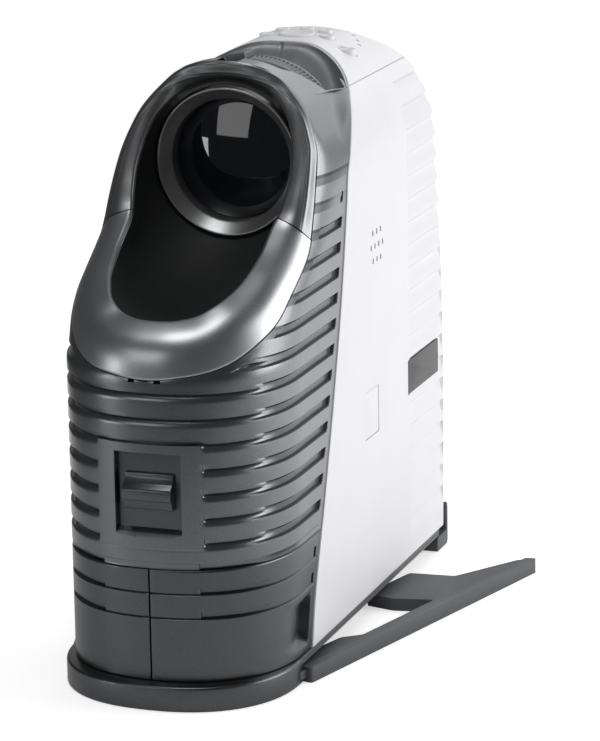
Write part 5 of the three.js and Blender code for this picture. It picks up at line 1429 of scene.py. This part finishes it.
def build_base():
    """The base pan with its two thin ledges, and the rear feet that hook up behind it."""
    half = BODY_WIDTH / 2 - 0.4
    corner = np.linspace(0, np.pi / 2, 10)
    arc = np.column_stack([half - PAN_CORNER + PAN_CORNER * np.cos(corner),
                           PAN_REAR - PAN_CORNER + PAN_CORNER * np.sin(corner)])
    right = np.concatenate([[(half, 50.3)], arc])
    outline = np.concatenate([right, mirror_2d(right)[::-1]])
    profile = [(1.4, 7.0), (0.2, 7.0), (0.0, 7.2), (0.0, 8.2), (0.25, 8.35), (0.25, 8.6), (0.0, 8.75),
               (0.0, 9.8), (0.2, 10.1), (2.6, 10.1), (2.6, 13.0), (4.0, 13.0)]
    points, faces = stacked(outline, profile)
    pan = make_piece("base_pan_ledged", points, faces, BASE, "base_pan")
    keep = [extruded(circle(side * FOOT_PIVOT[0], FOOT_PIVOT[1], 2.8), 0, 14) for side in (-1, 1)]
    ahead = np.array([(-60, -10), (60, -10), (60, 62), (49.2, 62), (45.4, 62), (45.4, 50), (-45.4, 50),
                      (-45.4, 62), (-60, 62)], float)
    carve(pan, keep + [extruded(ahead, 10.4, 20)])
    shade(pan, 30)
    hook = [(240, 0), (254.6, 0), (256, 1.6), (256, 18), (255, 20), (253.9, 20), (253.9, 6.7),
            (242, 6.7), (240, 5)]
    for side, name in ((1, "right"), (-1, "left")):
        points, faces = extruded(rounded(hook, 1.0, 4), 39, 49, 0.5, axis="x")
        make_piece(f"rear_foot_{name}_hook", points * [side, 1, 1], faces, FOOT, f"rear_foot_{name}")


def stacked(outline, profile):
    """Copies of a flat outline, each drawn in by an inset at a height, joined into a closed solid."""
    outline = np.asarray(outline, float)
    inward = inward_of(outline)
    rings = [np.column_stack([outline + inward * inset, np.full(len(outline), height)])
             for inset, height in profile]
    count = len(outline)
    faces = grid_faces(len(rings), count, loop_columns=True)
    faces.append(list(range(count))[::-1])
    faces.append(list(range(count * (len(rings) - 1), count * len(rings))))
    return np.concatenate(rings), faces


# Solids that keep their shape and only take a finish.
KEPT_SOLIDS = {
    STEEL: ["foot_pin_left", "foot_pin_right", "video_socket", "data_socket", "inner_frame"],
    BLACK: ["tilt_guide", "speaker", "power_inlet", "optical_engine", "wheel_motor", "fan_frame",
            "fan_rotor"],
    RUBBER: ["tilt_foot"],
    GLASS: ["rear_lens", "ir_window", "lamp_burner", "colour_wheel"],
    LABEL: ["connector_plate", "jack_block"],
    ALUMINIUM: ["power_supply", "heat_sink", "lamp_housing", "lamp_reflector"],
    BOARD: ["main_board"],
}


def finish_kept_solids():
    """Gives each carried-over solid the finish of its own material."""
    for finish, names in KEPT_SOLIDS.items():
        for name in names:
            for slot in bpy.data.objects[name].material_slots:
                slot.material = finish


def build_all():
    """Every piece of the projector, from the front back."""
    build_front_shell()
    build_face_trims()
    build_funnel()
    build_covers()
    build_plinth()
    build_feet()
    build_latch()
    build_latch_spring()
    build_lens()
    build_control_rings()
    build_recess_wall()
    build_side_panels()
    build_top_cover()
    build_buttons()
    build_rear_panel()
    build_base()
    finish_kept_solids()


# Floor, light and camera, in metres.
FLOOR_CORNERS = [(-0.4, -0.45, 0), (1.8, -0.45, 0), (1.8, 3, 0), (-0.4, 3, 0)]
FLOOR_GREY = 0.86
FLOOR_GLOW = 0.55
FAR_GLOW = 0.4
MIRRORED_GLOW = 0.6
DOME_STRENGTH = 0.34
MIRRORED_FRONT = 0.05
MIRRORED_BACK = 0.6
BACK_DIRECTION = (0.33, 0.94, 0)


def build_floor():
    """A pale floor, white to the camera and, behind the projector, to reflections; it keeps the shadow."""
    mesh = bpy.data.meshes.new("floor")
    mesh.from_pydata(FLOOR_CORNERS, [], [(0, 1, 2, 3)])
    floor = bpy.data.objects.new("floor", mesh)
    bpy.context.scene.collection.objects.link(floor)
    material, shader = shader_of("floor_paper", [FLOOR_GREY] * 3, 0.9)
    link(material, tint(material, noise(material, 8, 2), [FLOOR_GREY - 0.01] * 3, [FLOOR_GREY + 0.01] * 3),
         shader.inputs["Base Color"])
    rays = add_node(material, "ShaderNodeLightPath").outputs
    depth = coordinates(material)["Y"]
    mirrored = product(material, rays["Is Glossy Ray"], eased(material, depth, -0.05, 0.3))
    far = calculated(material, "MULTIPLY_ADD", eased(material, depth, 0.4, 1.1), FAR_GLOW, FLOOR_GLOW)
    seen = product(material, rays["Is Camera Ray"], far)
    shader.inputs["Emission Color"].default_value = (1, 1, 1, 1)
    link(material, calculated(material, "MULTIPLY_ADD", mirrored, MIRRORED_GLOW, seen),
         shader.inputs["Emission Strength"])
    mesh.materials.append(material)


def build_world():
    """A grey dome of light: white to the camera, and to reflections dark in front and bright behind."""
    world = bpy.data.worlds.new("studio")
    bpy.context.scene.world = world
    world.use_nodes = True
    world.node_tree.nodes.clear()
    rays = add_node(world, "ShaderNodeLightPath").outputs
    direction = add_node(world, "ShaderNodeTexCoord")
    toward = add_node(world, "ShaderNodeVectorMath", operation="DOT_PRODUCT")
    toward.inputs[1].default_value = BACK_DIRECTION
    link(world, direction.outputs["Generated"], toward.inputs[0])
    behind = add_node(world, "ShaderNodeMapRange")
    behind.inputs["From Min"].default_value = 0.4
    behind.inputs["From Max"].default_value = 0.9
    behind.inputs["To Min"].default_value = MIRRORED_FRONT
    behind.inputs["To Max"].default_value = MIRRORED_BACK
    link(world, toward.outputs["Value"], behind.inputs["Value"])
    dome, mirrored, plain = (add_node(world, "ShaderNodeBackground", color=(1, 1, 1, 1), strength=strength)
                             for strength in (DOME_STRENGTH, 0, 1))
    link(world, behind.outputs["Result"], mirrored.inputs["Strength"])
    shader = dome
    for ray, background in (("Is Glossy Ray", mirrored), ("Is Transmission Ray", plain),
                            ("Is Camera Ray", plain)):
        mix = add_node(world, "ShaderNodeMixShader")
        for source, socket in zip((rays[ray], shader.outputs[0], background.outputs[0]), mix.inputs):
            link(world, source, socket)
        shader = mix
    link(world, shader.outputs[0], add_node(world, "ShaderNodeOutputWorld").inputs[0])


# Each soft box: name, place, what it faces, width and power.
LAMPS = [("side", (1.3, 0.45, 0.45), (0, 0, 0.12), 1.0, 12),
         ("overhead", (-0.1, -0.3, 1.2), (0, 0, 0.15), 0.4, 2.4),
         ("window", (-0.41, -1.1, 0.53), (0, 0, 0.2), 0.5, 1.1),
         ("low", (-0.75, -0.75, 0.1), (0, 0, 0.12), 0.25, 0.8),
         ("rear", (0.2, 1.2, 1.0), (0, 0, 0.15), 1.2, 4)]


def add_lamp(name, place_at, target, size, watts):
    """A square soft box at a place, facing a target."""
    data = bpy.data.lights.new(name, "AREA")
    data.shape, data.size, data.energy = "SQUARE", size, watts
    lamp = bpy.data.objects.new(name, data)
    lamp.location = place_at
    facing = Vector(target) - Vector(place_at)
    lamp.rotation_euler = facing.to_track_quat("-Z", "Y").to_euler()
    bpy.context.scene.collection.objects.link(lamp)


CAMERA_PLACE = (0.5295, -1.4322, 0.500)
CAMERA_AZIMUTH = 19.48
CAMERA_ELEVATION = 14.33
CAMERA_ROLL = -0.92
FOCAL_LENGTH = 178.7
SENSOR_WIDTH = 36


def build_camera():
    """A long lens to the right of the front, a little above the roof, tilted by under a degree."""
    azimuth, elevation, roll = map(math.radians, (CAMERA_AZIMUTH, CAMERA_ELEVATION, CAMERA_ROLL))
    back = Vector((math.sin(azimuth) * math.cos(elevation), -math.cos(azimuth) * math.cos(elevation),
                   math.sin(elevation)))
    right = Vector((math.cos(azimuth), math.sin(azimuth), 0))
    up = back.cross(right)
    across = right * math.cos(roll) + up * math.sin(roll)
    upward = up * math.cos(roll) - right * math.sin(roll)
    data = bpy.data.cameras.new("camera")
    data.lens, data.sensor_width, data.sensor_fit = FOCAL_LENGTH, SENSOR_WIDTH, "AUTO"
    camera = bpy.data.objects.new("camera", data)
    turn = Matrix((across, upward, back)).transposed().to_4x4()
    turn.translation = CAMERA_PLACE
    camera.matrix_world = turn
    bpy.context.scene.collection.objects.link(camera)
    bpy.context.scene.camera = camera


build_all()
build_floor()
build_world()
for lamp in LAMPS:
    add_lamp(*lamp)
build_camera()
bpy.context.scene.view_settings.view_transform = "Standard"
